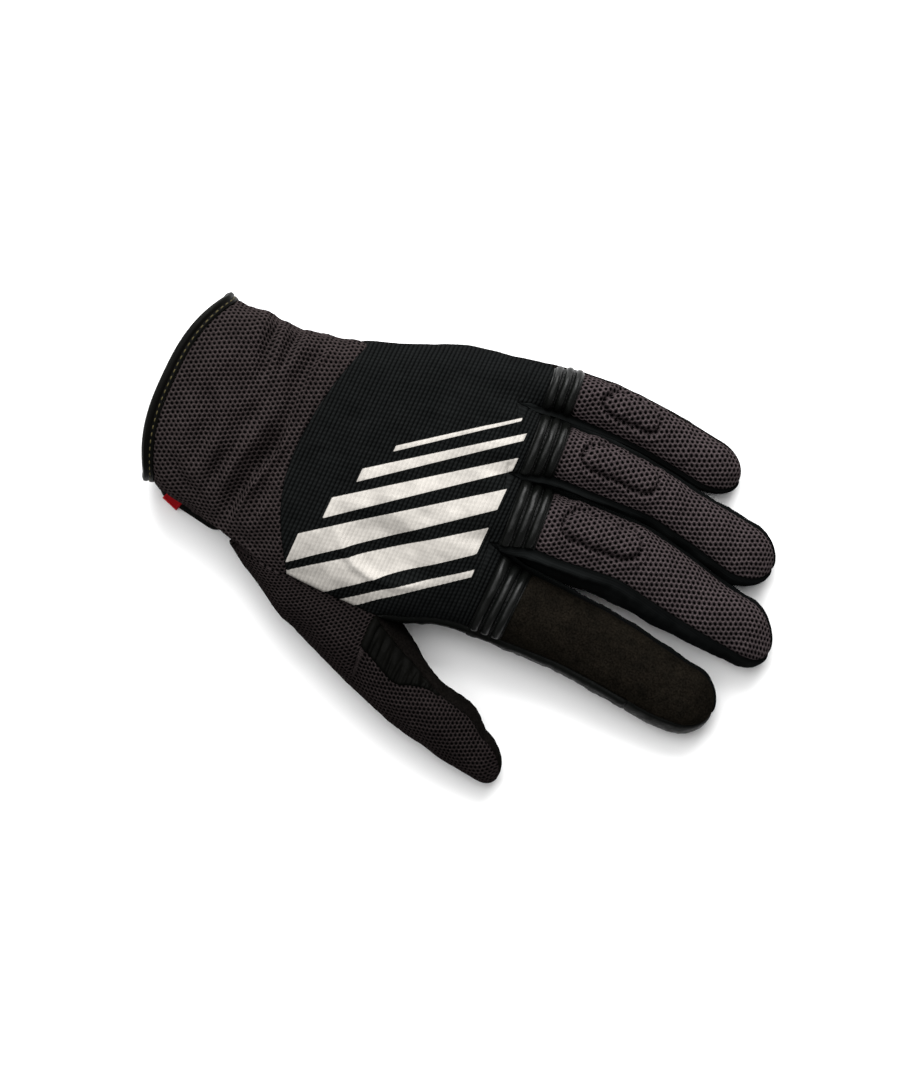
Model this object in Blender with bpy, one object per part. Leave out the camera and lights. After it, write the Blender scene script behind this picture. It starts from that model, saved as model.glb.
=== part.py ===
"""Left motorcycle glove, hollow, lying on its palm with the fingers out straight.

X runs from the cuff towards the fingertips, Y from the thumb side towards the little finger, and Z up
through the back of the hand. One smooth skin is worked out from the sizes and tables below, as grids of
points that share their edges. Each sewn piece is a patch of that skin, drawn in from its seams and given
its own cloth thickness inwards.
"""

import math
from dataclasses import dataclass

import bpy
import numpy as np

MM = 0.001

# Cuff
CUFF_LENGTH = 59 * MM  # opening to the back panel's seam, along the middle
CUFF_WIDTH = 78.5 * MM
CUFF_THICKNESS = 36 * MM  # height of the cuff's top above the floor
OPENING_BOW = 9.5 * MM  # how far the opening's sides lie behind its middle
BINDING_WIDTH = 5 * MM
BACK_SEAM_BOW = 20 * MM  # how far the back panel's seam sweeps forward at the thumb
BACK_SEAM_RISE = 8.7 * MM  # and at the little finger's side

# Hand
HAND_LENGTH = 84 * MM  # back panel's seam to the slit between index and middle fingers
HAND_THICKNESS = 38 * MM
INDEX_SIDE_REACH = 41.6 * MM  # from the cuff's axis to the index finger's outer side
KNUCKLE_VALLEY = 2.2 * MM
VALLEY_WIDTH = 10 * MM
VALLEY_LENGTH = 26 * MM
DENT_DEPTH = 1.8 * MM  # hollow on the back of the hand, towards the thumb
DENT_SIZE = (34 * MM, 18 * MM)
DENT_PLACE = (0.5, -0.3)  # in shares of the hand's length and width

# Thumb
THUMB_LENGTH = 135 * MM  # wrist to tip
THUMB_SPREAD = 43.8 * MM  # how far it reaches out from the wrist's edge
THUMB_WIDTH = 31 * MM
THUMB_THICKNESS = 26 * MM
THUMB_TIP = 12 * MM
THUMB_TIP_DRIFT = -4.4 * MM
THUMB_SETBACK = 9.5 * MM  # how far behind the back panel's seam the thumb starts
THUMB_CROTCH = 64.5 * MM  # wrist to the crotch, on the back
CROTCH_DEPTH = 8.5 * MM  # how much further forward the crotch lies on the palm
THUMB_GROWTH = (-16 * MM, 34 * MM)  # from its start, where it rises out of the wrist and where it is itself
GUSSET_LENGTH = 36 * MM
GUSSET_START = 12 * MM  # how far behind the crotch it starts to open
GUSSET_WIDEST = (0.05, 0.45)  # in shares of its length

# Cloth
MESH_WALL = 2.0 * MM
STRETCH_WALL = 1.7 * MM
LEATHER_WALL = 1.5 * MM
BINDING_WALL = 2.8 * MM
BINDING_ROLL = 0.7 * MM
SEAM_GAP = 0.36 * MM
FINGER_GAP = 0.7 * MM
WEB_DEPTH = 24 * MM  # from the slit on the back to the web on the palm
OUTER_WEB = 0.6  # share of it at the index and little fingers' outer sides
UNDER_NECK = 2.5 * MM  # from the web, under each finger, to where its knuckle starts
UNDER_KNUCKLE = 4.5 * MM
FLATTENING = 0.7 * MM  # how far the palm side is pressed flat by its weight

# Raised details
RIBS = 3
RIB_HEIGHT = 1.3 * MM
PAD_HEIGHT = 1.1 * MM
GATHER_HEIGHT = 0.5 * MM
FOLD_DEPTH = 1.7 * MM
FOLDS_START = (8 * MM, 16 * MM)  # heights between which the cuff's folds fade in

# Closure tab under the cuff
TAB_WIDTH = 32 * MM
TAB_LENGTH = 58 * MM
TAB_THICKNESS = 2.2 * MM
TAB_CORNER = 7 * MM
TAB_PROUD = 1.8 * MM  # how far its end stands out beyond the cuff's edge
TAB_SLANT = -0.15  # rise over run of its ends, which follow the cuff's edge
TAB_START = 15.2 * MM  # from the opening's middle to the tab
TAB_CLEARANCE = 0.35 * MM

FLAT = 0.001 * MM  # what lies lower than this rests on the floor
CUFF_LIFT = TAB_THICKNESS + TAB_CLEARANCE + FLATTENING


@dataclass
class Finger:
    """A finger's own sizes, in metres, and its ribs and stitched pad, in shares of its length."""

    name: str
    base: float
    length: float
    thickness: float
    tip: float
    tip_drift: float
    flex_start: float
    flex_length: float
    flex_tilt: float
    pad: tuple
    thumbward_seam: tuple
    colour: tuple


# thumbward_seam is the seam's place across the finger at its base, middle and tip, -1 at the thumb side.
# pad is its centre along and across, then its length and width; the index finger has none.
FINGERS = (
    Finger(
        "index", 35.6 * MM, 104.8 * MM, 24 * MM, 14 * MM, -0.4 * MM, 4.5 * MM, 13.3 * MM, -0.8 * MM,
        (), (-0.86, -0.80, -0.72), (0.020, 0.018, 0.016),
    ),
    Finger(
        "middle", 27.5 * MM, 119.3 * MM, 25 * MM, 15 * MM, -3.7 * MM, 5.0 * MM, 13.0 * MM, 2.4 * MM,
        (0.345, 0.42, 0.26, 0.38), (-0.60, -0.48, -0.76), (0.072, 0.062, 0.062),
    ),
    Finger(
        "ring", 27.5 * MM, 113.5 * MM, 23 * MM, 14 * MM, -0.8 * MM, 7.5 * MM, 12.3 * MM, 2.0 * MM,
        (0.385, 0.36, 0.27, 0.42), (-0.72, -0.74, -0.76), (0.072, 0.062, 0.062),
    ),
    Finger(
        "little", 17.0 * MM, 92.5 * MM, 20 * MM, 13 * MM, -1.0 * MM, 9.5 * MM, 11.5 * MM, 2.2 * MM,
        (0.470, 0.30, 0.25, 0.46), (-0.80, -0.82, -0.86), (0.072, 0.062, 0.062),
    ),
)
SEAM_STATIONS = (0, 0.45, 1)
HAND_WIDTH = sum(finger.base for finger in FINGERS)

# Where each slit starts on the back, in shares of the hand's length, from the index finger's outer side.
SLITS = (1.042, 1.000, 0.935, 0.840, 0.815)

# Outline of the hand's two sides. Station 0 to 1 is the cuff, 1 to 2 the hand; bulge is in hand widths.
THUMB_SIDE = (
    # station, bulge
    (0.00, 0.000),
    (0.17, 0.001),
    (0.51, -0.034),
    (0.85, -0.074),
    (1.00, -0.100),
    (1.12, -0.113),
    (1.30, -0.118),
    (1.53, -0.112),
    (1.63, -0.100),
    (1.72, -0.082),
    (1.79, -0.058),
    (1.84, -0.036),
    (1.92, -0.014),
    (2.00, 0.000),
)
LITTLE_SIDE = (
    # station, bulge
    (0.00, 0.000),
    (0.51, -0.060),
    (0.84, -0.081),
    (1.00, -0.086),
    (1.12, -0.068),
    (1.30, -0.050),
    (1.45, -0.028),
    (1.59, -0.004),
    (1.74, 0.000),
    (1.88, -0.002),
    (2.00, 0.000),
)

# Lines beside and between the fingers, from the index finger's outer side to the little finger's.
# Station is in shares of the line's reach; drift and spread are in shares of the hand's width.
FINGER_LINES = (
    (
        # station, drift, spread
        (0.00, 0.000, 0.0),
        (0.22, 0.006, 0.0),
        (0.37, 0.013, 0.0),
        (0.51, 0.006, 0.0),
        (0.66, -0.008, 0.0),
        (0.81, -0.018, 0.0),
        (0.88, -0.013, 0.0),
    ),
    (
        (0.00, 0.000, 0.000),
        (0.10, -0.019, 0.003),
        (0.23, -0.024, 0.001),
        (0.36, -0.020, 0.019),
        (0.44, -0.019, 0.026),
        (0.57, -0.030, 0.031),
        (0.70, -0.044, 0.049),
        (0.81, -0.053, 0.063),
        (0.91, -0.056, 0.068),
    ),
    (
        (0.00, 0.000, 0.000),
        (0.14, 0.020, 0.000),
        (0.26, 0.029, 0.000),
        (0.39, 0.039, 0.000),
        (0.47, 0.045, 0.000),
        (0.55, 0.034, 0.000),
        (0.63, 0.018, 0.000),
        (0.71, -0.002, 0.000),
        (0.78, -0.019, 0.002),
        (0.88, -0.024, 0.021),
    ),
    (
        (0.00, 0.000, 0.000),
        (0.09, 0.002, 0.000),
        (0.21, 0.007, 0.000),
        (0.34, 0.012, 0.000),
        (0.47, 0.010, 0.000),
        (0.60, -0.004, 0.000),
        (0.66, -0.014, 0.005),
        (0.72, -0.015, 0.016),
        (0.81, -0.019, 0.022),
        (0.88, -0.024, 0.031),
    ),
    (
        (0.00, 0.000, 0.0),
        (0.10, 0.019, 0.0),
        (0.23, 0.040, 0.0),
        (0.34, 0.048, 0.0),
        (0.45, 0.051, 0.0),
        (0.56, 0.048, 0.0),
        (0.66, 0.040, 0.0),
        (0.77, 0.033, 0.0),
        (0.86, 0.022, 0.0),
    ),
)

# Height of the hand's crown, in shares of the cuff's and the hand's thickness, and of the cuff's lift.
HAND_CROWN = (
    # station, of the cuff, of the hand, lift
    (0.00, 1.00, 0.00, 1.0),
    (0.50, 1.00, 0.00, 1.0),
    (0.85, 0.90, 0.04, 0.9),
    (1.00, 0.60, 0.36, 0.4),
    (1.30, 0.10, 0.90, 0.0),
    (1.60, 0.00, 1.04, 0.0),
    (2.00, 0.00, 1.00, 0.0),
    (2.40, 0.00, 0.90, 0.0),
)

# Side view of a finger: how much of the knuckle's extra height is left, its own thickness, and its lift.
FINGER_CROWN = (
    # station, of the knuckle, of the thickness, lift
    (0.00, 1.00, 1.00, 0.00),
    (0.12, 0.82, 1.00, 0.01),
    (0.30, 0.44, 1.00, 0.08),
    (0.50, 0.12, 1.00, 0.11),
    (0.70, 0.00, 0.96, 0.05),
    (0.87, 0.00, 0.88, 0.00),
    (1.00, 0.00, 0.82, 0.00),
)

THUMB_SHAPE = (
    # station, reach of its outer edge, width, crown
    (0.00, 0.023, 0.95, 0.96),
    (0.07, 0.204, 0.95, 0.98),
    (0.15, 0.316, 0.94, 1.02),
    (0.22, 0.406, 0.93, 1.04),
    (0.30, 0.482, 0.92, 1.05),
    (0.44, 0.658, 0.94, 1.04),
    (0.52, 0.741, 0.95, 1.02),
    (0.59, 0.810, 0.98, 1.00),
    (0.64, 0.849, 0.96, 0.98),
    (0.69, 0.881, 0.88, 0.95),
    (0.74, 0.913, 0.82, 0.92),
    (0.81, 0.959, 0.81, 0.86),
    (0.86, 0.983, 0.78, 0.78),
    (0.91, 1.000, 0.62, 0.68),
)

# Folds across the cuff: place along it, place across (-1 at the thumb side), depth, half width, half span.
CUFF_FOLDS = (
    (0.80, -0.10, 1.00, 0.060, 1.60),
    (0.62, -0.80, 0.50, 0.060, 0.60),
    (0.42, -0.75, 0.60, 0.070, 0.50),
    (0.22, -0.60, 0.45, 0.070, 0.45),
    (0.55, 1.00, 0.80, 0.060, 0.40),
    (0.36, 0.95, 0.45, 0.060, 0.35),
)

# Points across each stretch of the skin, and rows along it.
TOP_COUNT = 12
SIDE_COUNT = 6
UNDER_COUNT = 12
SIDE_END = TOP_COUNT + SIDE_COUNT
UNDER_END = SIDE_END + UNDER_COUNT
RING_COUNT = UNDER_END + SIDE_COUNT
ROOT_OVER_START = UNDER_COUNT + SIDE_COUNT
ROOT_END = ROOT_OVER_START + TOP_COUNT
ROWS_BINDING = 2
ROWS_CUFF = 24
ROWS_WRIST = 24
ROWS_PALM = 12
ROWS_NECK = 4
ROWS_FLEX = 12
ROWS_FINGER = 32
ROWS_TIP = 8
ROWS_GUSSET = 24
ROWS_THUMB = 12

# Blends between hand, thumb and fingers
BASE_BLEND = 18 * MM
CROTCH_BLEND = 20 * MM
JOIN_BLEND = 8 * MM
SWEEP_TOP = 16 * MM
SWEEP_UNDER = 14 * MM
RELAX_ROUNDS = 10
NORMAL_ROUNDS = 6
SHARPEST = 0.05  # keeps the corner of a pointed piece from being drawn in too far

# Angles round a section: 0 at the thumb side, 90 on top, 180 at the little finger's side
ROUND_TOP = 2.45
ROUND_BOTTOM = 3.4
ROUND_FINGER = 2.25
CORNER_ANGLE = 18.0
UNDER_ANGLE = 28.0
FINGER_CORNER = 16.0
FINGER_UNDER = 30.0
THUMB_MESH_EDGE = (82.0, 122.0)
THUMB_INNER_TOP = 128.0
THUMB_INNER_UNDER = 215.0
MID_HEIGHT = 0.43
TIP_HEIGHT = 0.42  # of a fingertip's foremost point

# Colours
MESH_COLOUR = (0.072, 0.062, 0.062)
STRETCH_COLOUR = (0.012, 0.012, 0.013)
LEATHER_COLOUR = (0.016, 0.016, 0.016)
SUEDE_COLOUR = (0.020, 0.018, 0.016)


def shaped(table, column, at):
    """A smooth curve through one column of a table, read at each place of at."""
    stations = np.array([row[0] for row in table], float)
    values = np.array([row[column] for row in table], float)
    slopes = np.gradient(values, stations)
    at = np.clip(np.asarray(at, float), stations[0], stations[-1])
    i = np.clip(np.searchsorted(stations, at) - 1, 0, len(stations) - 2)
    gap = stations[i + 1] - stations[i]
    t = (at - stations[i]) / gap
    return (
        (1 + 2 * t) * (1 - t) ** 2 * values[i]
        + t * (1 - t) ** 2 * gap * slopes[i]
        + t**2 * (3 - 2 * t) * values[i + 1]
        + t**2 * (t - 1) * gap * slopes[i + 1]
    )


def ease(low, high, at):
    """0 before low, 1 after high, and smooth between them."""
    t = np.clip((np.asarray(at, float) - low) / (high - low), 0, 1)
    return t * t * (3 - 2 * t)


def mix(a, b, share):
    return a + (b - a) * share


def slit_x(line):
    return CUFF_LENGTH + SLITS[line] * HAND_LENGTH


def knuckle_y(line):
    return -INDEX_SIDE_REACH + sum(finger.base for finger in FINGERS[:line])


def tip_x(number):
    return (slit_x(number) + slit_x(number + 1)) / 2 + FINGERS[number].length


def line_reach(line):
    """From the slit to the tip of the longer finger beside it."""
    beside = [n for n in (line - 1, line) if 0 <= n < len(FINGERS)]
    return max(tip_x(n) for n in beside) - slit_x(line)


def finger_line(line, x):
    """Middle of the line between two fingers, and the gap between them, at x."""
    station = (x - slit_x(line)) / line_reach(line)
    y = knuckle_y(line) + shaped(FINGER_LINES[line], 1, station) * HAND_WIDTH
    inner = 0 < line < len(FINGERS)
    gap = FINGER_GAP + shaped(FINGER_LINES[line], 2, station) * HAND_WIDTH if inner else 0 * y
    return y, gap


def hand_edge(line, table, side, x):
    """Outline of the hand at x, on the thumb's side (side -1) or the little finger's (side 1)."""
    end = slit_x(line)
    station = np.where(x < CUFF_LENGTH, x / CUFF_LENGTH, 1 + (x - CUFF_LENGTH) / (end - CUFF_LENGTH))
    straight = mix(side * CUFF_WIDTH / 2, knuckle_y(line), np.clip(x / end, 0, 1))
    before = straight + shaped(table, 1, station) * HAND_WIDTH
    return np.where(x < end, before, finger_line(line, x)[0])


def hand_station(x):
    return np.where(x < CUFF_LENGTH, x / CUFF_LENGTH, 1 + (x - CUFF_LENGTH) / HAND_LENGTH)


def around(angle, roundness):
    """Cosine-like and sine-like places on a squarish ring."""
    c, s = np.cos(np.radians(angle)), np.sin(np.radians(angle))
    return np.sign(c) * np.abs(c) ** (2 / roundness), np.sign(s) * np.abs(s) ** (2 / roundness)


def section(low, high, crown, lift, angle, round_top, round_bottom):
    """y and z on a section between the edges low and high, from lift above the floor up to crown."""
    centre, half = (low + high) / 2, (high - low) / 2
    c_top, s_top = around(angle, round_top)
    c_under, s_under = around(angle, round_bottom)
    above = s_top >= 0
    middle = lift + (crown - lift) * MID_HEIGHT
    y = centre - half * np.where(above, c_top, c_under)
    z = middle + np.where(above, (crown - middle) * s_top, (middle - lift) * s_under)
    return y, z


def hand_section(x, angle):
    low = hand_edge(0, THUMB_SIDE, -1, x)
    high = hand_edge(len(FINGERS), LITTLE_SIDE, 1, x)
    station = hand_station(x)
    crown = shaped(HAND_CROWN, 1, station) * CUFF_THICKNESS + shaped(HAND_CROWN, 2, station) * HAND_THICKNESS
    lift = shaped(HAND_CROWN, 3, station) * CUFF_LIFT
    y, z = section(low, high, crown, lift, angle, ROUND_TOP, ROUND_BOTTOM)
    return np.stack([np.broadcast_to(x, y.shape), y, z], -1)


def tip_shrink(x, start, end):
    """How much of its section a finger keeps at x, from 1 where the tip starts to 0 at its end."""
    t = np.clip((x - start) / (end - start), 0, 1)
    return np.sqrt(np.clip(1 - t**2, 0, 1)), t


def finger_section(number, x, angle):
    finger = FINGERS[number]
    end = tip_x(number)
    start = end - finger.tip
    low_line, low_gap = finger_line(number, np.minimum(x, start))
    high_line, high_gap = finger_line(number + 1, np.minimum(x, start))
    low, high = low_line + low_gap / 2, high_line - high_gap / 2
    root = (slit_x(number) + slit_x(number + 1)) / 2
    station = (x - root) / (end - root)
    at_knuckle = knuckle_crown(number)
    thickness = shaped(FINGER_CROWN, 2, station) * finger.thickness
    crown = thickness + shaped(FINGER_CROWN, 1, station) * (at_knuckle - finger.thickness)
    lift = shaped(FINGER_CROWN, 3, station) * finger.thickness
    keep, along = tip_shrink(x, start, end)
    centre = (low + high) / 2 + finger.tip_drift * along**1.5
    half = (high - low) / 2 * keep
    pole = lift + (crown - lift) * TIP_HEIGHT
    y, z = section(
        centre - half,
        centre + half,
        mix(pole, crown, keep),
        mix(pole, lift, keep),
        angle,
        ROUND_FINGER,
        ROUND_BOTTOM,
    )
    return np.stack([np.broadcast_to(x, y.shape), y, z], -1)


def knuckle_crown(number):
    """Height of the hand's back where a finger starts."""
    x = (slit_x(number) + slit_x(number + 1)) / 2
    across = (knuckle_y(number) + knuckle_y(number + 1)) / 2
    low, high = knuckle_y(0), knuckle_y(len(FINGERS))
    share = (2 * across - low - high) / (high - low)
    rise = (1 - abs(share) ** ROUND_TOP) ** (1 / ROUND_TOP)
    crown = float(shaped(HAND_CROWN, 2, hand_station(np.array(x)))) * HAND_THICKNESS
    return crown * mix(MID_HEIGHT, 1, rise)


def thumb_start():
    return CUFF_LENGTH - THUMB_SETBACK


def thumb_section(x, angle):
    start = thumb_start()
    station = (x - start) / THUMB_LENGTH
    end = start + THUMB_LENGTH
    cap = end - THUMB_TIP
    outer = float(hand_edge(0, THUMB_SIDE, -1, np.array(start)))
    outer = outer - shaped(THUMB_SHAPE, 1, station) * THUMB_SPREAD
    width = shaped(THUMB_SHAPE, 2, station) * THUMB_WIDTH
    crown = shaped(THUMB_SHAPE, 3, station) * THUMB_THICKNESS
    keep, along = tip_shrink(x, cap, end)
    centre = outer + width / 2 + THUMB_TIP_DRIFT * along**1.3
    half = width / 2 * keep
    pole = crown * TIP_HEIGHT
    y, z = section(
        centre - half,
        centre + half,
        mix(pole, crown, keep),
        mix(pole, 0, keep),
        angle,
        ROUND_FINGER,
        ROUND_FINGER,
    )
    return np.stack([np.broadcast_to(x, y.shape), y, z], -1)


def steps(values, counts):
    """Values joined by straight runs, with that many steps in each."""
    run = [np.linspace(a, b, n, endpoint=False) for a, b, n in zip(values, values[1:], counts)]
    return np.concatenate([*run, [values[-1]]])


def hand_angles():
    """Angles of the hand's columns: top, little finger's side, underneath, index finger's side."""
    low, high = knuckle_y(0), knuckle_y(len(FINGERS))
    share = np.array([(2 * knuckle_y(n) - low - high) / (high - low) for n in range(1, len(FINGERS))])

    def angle_of(roundness):
        return np.degrees(np.arccos(-np.sign(share) * np.abs(share) ** (roundness / 2)))

    over = [CORNER_ANGLE, *angle_of(ROUND_TOP), 180 - CORNER_ANGLE]
    under = [180 + UNDER_ANGLE, *(360 - angle_of(ROUND_BOTTOM))[::-1], 360 - UNDER_ANGLE]
    fingers = len(FINGERS)
    return (
        steps(over, [TOP_COUNT] * fingers),
        steps([180 - CORNER_ANGLE, 180 + UNDER_ANGLE], [SIDE_COUNT]),
        steps(under, [UNDER_COUNT] * fingers),
        steps([360 - UNDER_ANGLE, 360 + CORNER_ANGLE], [SIDE_COUNT]),
    )


def crotch_x():
    return thumb_start() + THUMB_CROTCH


def web_x(line):
    """Where the web between two fingers ends on the palm."""
    outer = line in (0, len(FINGERS))
    return slit_x(line) + WEB_DEPTH * (OUTER_WEB if outer else 1)


def hand_rows():
    """X of each key row of the hand at each column of its four stretches."""
    over, little, under, _ = hand_angles()
    fingers = len(FINGERS)
    share = -around(over, ROUND_TOP)[0]
    opening = OPENING_BOW * np.abs(share) ** 2.6
    seam = CUFF_LENGTH + BACK_SEAM_RISE * np.clip(share, 0, 1) ** 2.2
    seam = seam + BACK_SEAM_BOW * np.clip(-share, 0, 1) ** 2.2
    crotch = mix(crotch_x(), crotch_x() - SWEEP_TOP, (share + 1) / 2)
    slits = steps([slit_x(n) for n in range(fingers + 1)], [TOP_COUNT] * fingers)
    top = [opening, opening + BINDING_WIDTH, seam, crotch, slits]

    ones = np.ones_like(under)
    along = np.linspace(0, 1, len(under))
    deep = crotch_x() + CROTCH_DEPTH
    webs = steps([web_x(n) for n in range(fingers, -1, -1)], [UNDER_COUNT] * fingers)
    edge = OPENING_BOW * ones
    bottom = [edge, edge + BINDING_WIDTH, CUFF_LENGTH * ones, mix(deep - SWEEP_UNDER, deep, along), webs]

    turn = ease(0, 1, np.linspace(0, 1, SIDE_COUNT + 1))
    side = [mix(t[-1], b[0], turn) for t, b in zip(top, bottom)]
    index_side = [mix(b[-1], t[0], turn) for t, b in zip(top[3:], bottom[3:])]
    return top, side, bottom, index_side


def filled(rows, counts):
    """All rows between key rows, with that many steps in each."""
    made = []
    for a, b, n in zip(rows, rows[1:], counts):
        made += [mix(a, b, t) for t in np.linspace(0, 1, n, endpoint=False)]
    return np.array([*made, rows[-1]])


def valleys(points):
    """Lowers the back of the hand a little between the knuckles."""
    for line in range(1, len(FINGERS)):
        y = knuckle_y(line)
        near = np.exp(-(((points[..., 1] - y) / (VALLEY_WIDTH / 2)) ** 2))
        along = ease(slit_x(line) - VALLEY_LENGTH, slit_x(line), points[..., 0])
        points[..., 2] -= KNUCKLE_VALLEY * near * along
    return points


def steer_webs(points, rows):
    """Shifts the palm's columns so that those below each web end on the line between the fingers."""
    fingers = len(FINGERS)
    at = [i * UNDER_COUNT for i in range(fingers + 1)]
    wanted = np.array([float(finger_line(line, np.array(web_x(line)))[0]) for line in range(fingers, -1, -1)])
    miss = wanted - points[-1, at, 1]
    miss[0] = miss[-1] = 0
    shift = np.interp(np.arange(points.shape[1]), at, miss)
    start = rows[ROWS_BINDING + ROWS_CUFF + ROWS_WRIST]
    points[..., 1] += ease(start, rows[-1], rows) * shift
    return points


def thumb_angles(x):
    """Angles round the thumb at each x: its top from the outside in, then web, underneath and outside."""
    first, last = (crotch_x() + share * GUSSET_LENGTH for share in GUSSET_WIDEST)
    opened = ease(crotch_x() - GUSSET_START, first, x)
    closed = ease(last, crotch_x() + GUSSET_LENGTH, x)
    edge = mix(THUMB_MESH_EDGE[1], THUMB_MESH_EDGE[0], opened * (1 - closed))
    outside = np.linspace(0, 1, 2 * TOP_COUNT // 3 + 1)
    inside = np.linspace(0, 1, TOP_COUNT // 3 + 1)[1:]
    return outside, inside, edge


def thumb_top_angle(x, column):
    outside, inside, edge = thumb_angles(x)
    shares = np.concatenate([outside, 1 + inside])
    share = shares[column]
    first = mix(FINGER_CORNER, edge, np.clip(share, 0, 1))
    return first + (THUMB_INNER_TOP - edge) * np.clip(share - 1, 0, 1)


def thumb_root(x_top, x_under):
    """The thumb's side from the cuff to the crotch, from under the palm out and over to the back."""
    under_run = steps([THUMB_INNER_UNDER, 360 - FINGER_CORNER], [UNDER_COUNT])
    side_run = steps([360 - FINGER_CORNER, 360 + FINGER_CORNER], [SIDE_COUNT])
    count = ROOT_END + 1
    share = np.linspace(0, 1, count)
    seams = [OPENING_BOW, OPENING_BOW + BINDING_WIDTH]
    wrist = thumb_start()
    outer = 1 - np.abs(2 * share - 1) ** 2
    straight = mix(CUFF_LENGTH, x_top[2], ease(0.45, 1, share))
    cuff_seam = mix(straight, wrist, outer * (1 - ease(0.6, 1, share)))
    crotch = mix(x_under, x_top[3], ease(0, 1, share))
    rows = [mix(seams[0], x_top[0], share), mix(seams[1], x_top[1], share), cuff_seam, crotch]
    x = filled(rows, [ROWS_BINDING, ROWS_CUFF, ROWS_WRIST])
    hand = hand_section(x, mix(360 - UNDER_ANGLE, 360 + CORNER_ANGLE, share)[None, :] + 0 * x)
    angle = np.empty_like(x)
    angle[:, :UNDER_COUNT] = under_run[:-1]
    angle[:, UNDER_COUNT : ROOT_OVER_START] = side_run[:-1]
    for column in range(TOP_COUNT + 1):
        angle[:, ROOT_OVER_START + column] = 360 + thumb_top_angle(x[:, ROOT_OVER_START + column], column)
    thumb = thumb_section(x, angle)
    middle = UNDER_COUNT + SIDE_COUNT // 2
    edge = thumb[:, middle : middle + 1]
    for end, part in ((0, slice(0, middle)), (count - 1, slice(middle, count))):
        stretch = (hand[:, end] - edge[:, 0])[:, 1:] / (thumb[:, end] - edge[:, 0])[:, 1:]
        thumb[:, part, 1:] = edge[..., 1:] + (thumb[:, part] - edge)[..., 1:] * stretch[:, None]
    before, after = THUMB_GROWTH
    grown = ease(thumb_start() + before, thumb_start() + after, x)[..., None]
    points = mix(hand, thumb, grown)
    return points


def finger_grid(number, base):
    """Points of a finger from its base ring to its tip. base is the ring: top, side, underneath, side."""
    finger = FINGERS[number]
    end = tip_x(number)
    cap = end - finger.tip
    columns = len(base)
    over = np.zeros(columns)
    over[: TOP_COUNT + 1] = 1
    over[TOP_COUNT : SIDE_END + 1] = 1 - ease(0, 1, np.linspace(0, 1, SIDE_COUNT + 1))
    rise = ease(0, 1, np.linspace(0, 1, SIDE_COUNT + 1))
    over[UNDER_END :] = rise
    across = np.zeros(columns)
    across[: TOP_COUNT + 1] = np.linspace(1, 0, TOP_COUNT + 1)
    across[UNDER_END :] = 1
    middle = (slit_x(number) + slit_x(number + 1)) / 2
    start = middle + finger.flex_start + finger.flex_tilt * (across - 0.5)
    web = base[:, 0]
    first = mix(web + UNDER_NECK, start, over)
    second = mix(web + UNDER_NECK + UNDER_KNUCKLE, start + finger.flex_length, over)
    rows = filled([web, first, second, np.full(columns, cap)], [ROWS_NECK, ROWS_FLEX, ROWS_FINGER])
    curve = np.sin(np.linspace(0, math.pi / 2, ROWS_TIP + 1))[1:]
    tip = np.array([np.full(columns, cap + (end - cap) * s) for s in curve])
    x = np.concatenate([rows, tip])

    station = np.clip((x - middle) / (end - middle), 0, 1)
    seam = np.interp(station, SEAM_STATIONS, finger.thumbward_seam)
    seam_angle = np.degrees(np.arccos(np.abs(seam) ** (ROUND_FINGER / 2)))
    angle = np.empty_like(x)
    share = np.linspace(0, 1, TOP_COUNT + 1)
    angle[:, : TOP_COUNT + 1] = mix(seam_angle[:, : TOP_COUNT + 1], 180 - FINGER_CORNER, share)
    angle[:, TOP_COUNT : SIDE_END + 1] = np.linspace(180 - FINGER_CORNER, 180 + FINGER_UNDER, SIDE_COUNT + 1)
    bottom = slice(SIDE_END, UNDER_END + 1)
    angle[:, bottom] = np.linspace(180 + FINGER_UNDER, 360 - FINGER_UNDER, UNDER_COUNT + 1)
    last = np.linspace(0, 1, SIDE_COUNT + 1)
    angle[:, UNDER_END :] = mix(360 - FINGER_UNDER, 360 + seam_angle[:, UNDER_END :], last)
    tube = finger_section(number, x, angle)
    fade = 1 - ease(0, BASE_BLEND, x - web[None, :])
    points = tube + fade[..., None] * (base - tube[0])[None]
    points[0] = base
    return points


def web_line(top_point, under_point):
    """The fold between two fingers, from the slit on the back down to the web on the palm."""
    share = np.linspace(0, 1, SIDE_COUNT + 1)[:, None]
    return mix(top_point, under_point, share)


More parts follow.
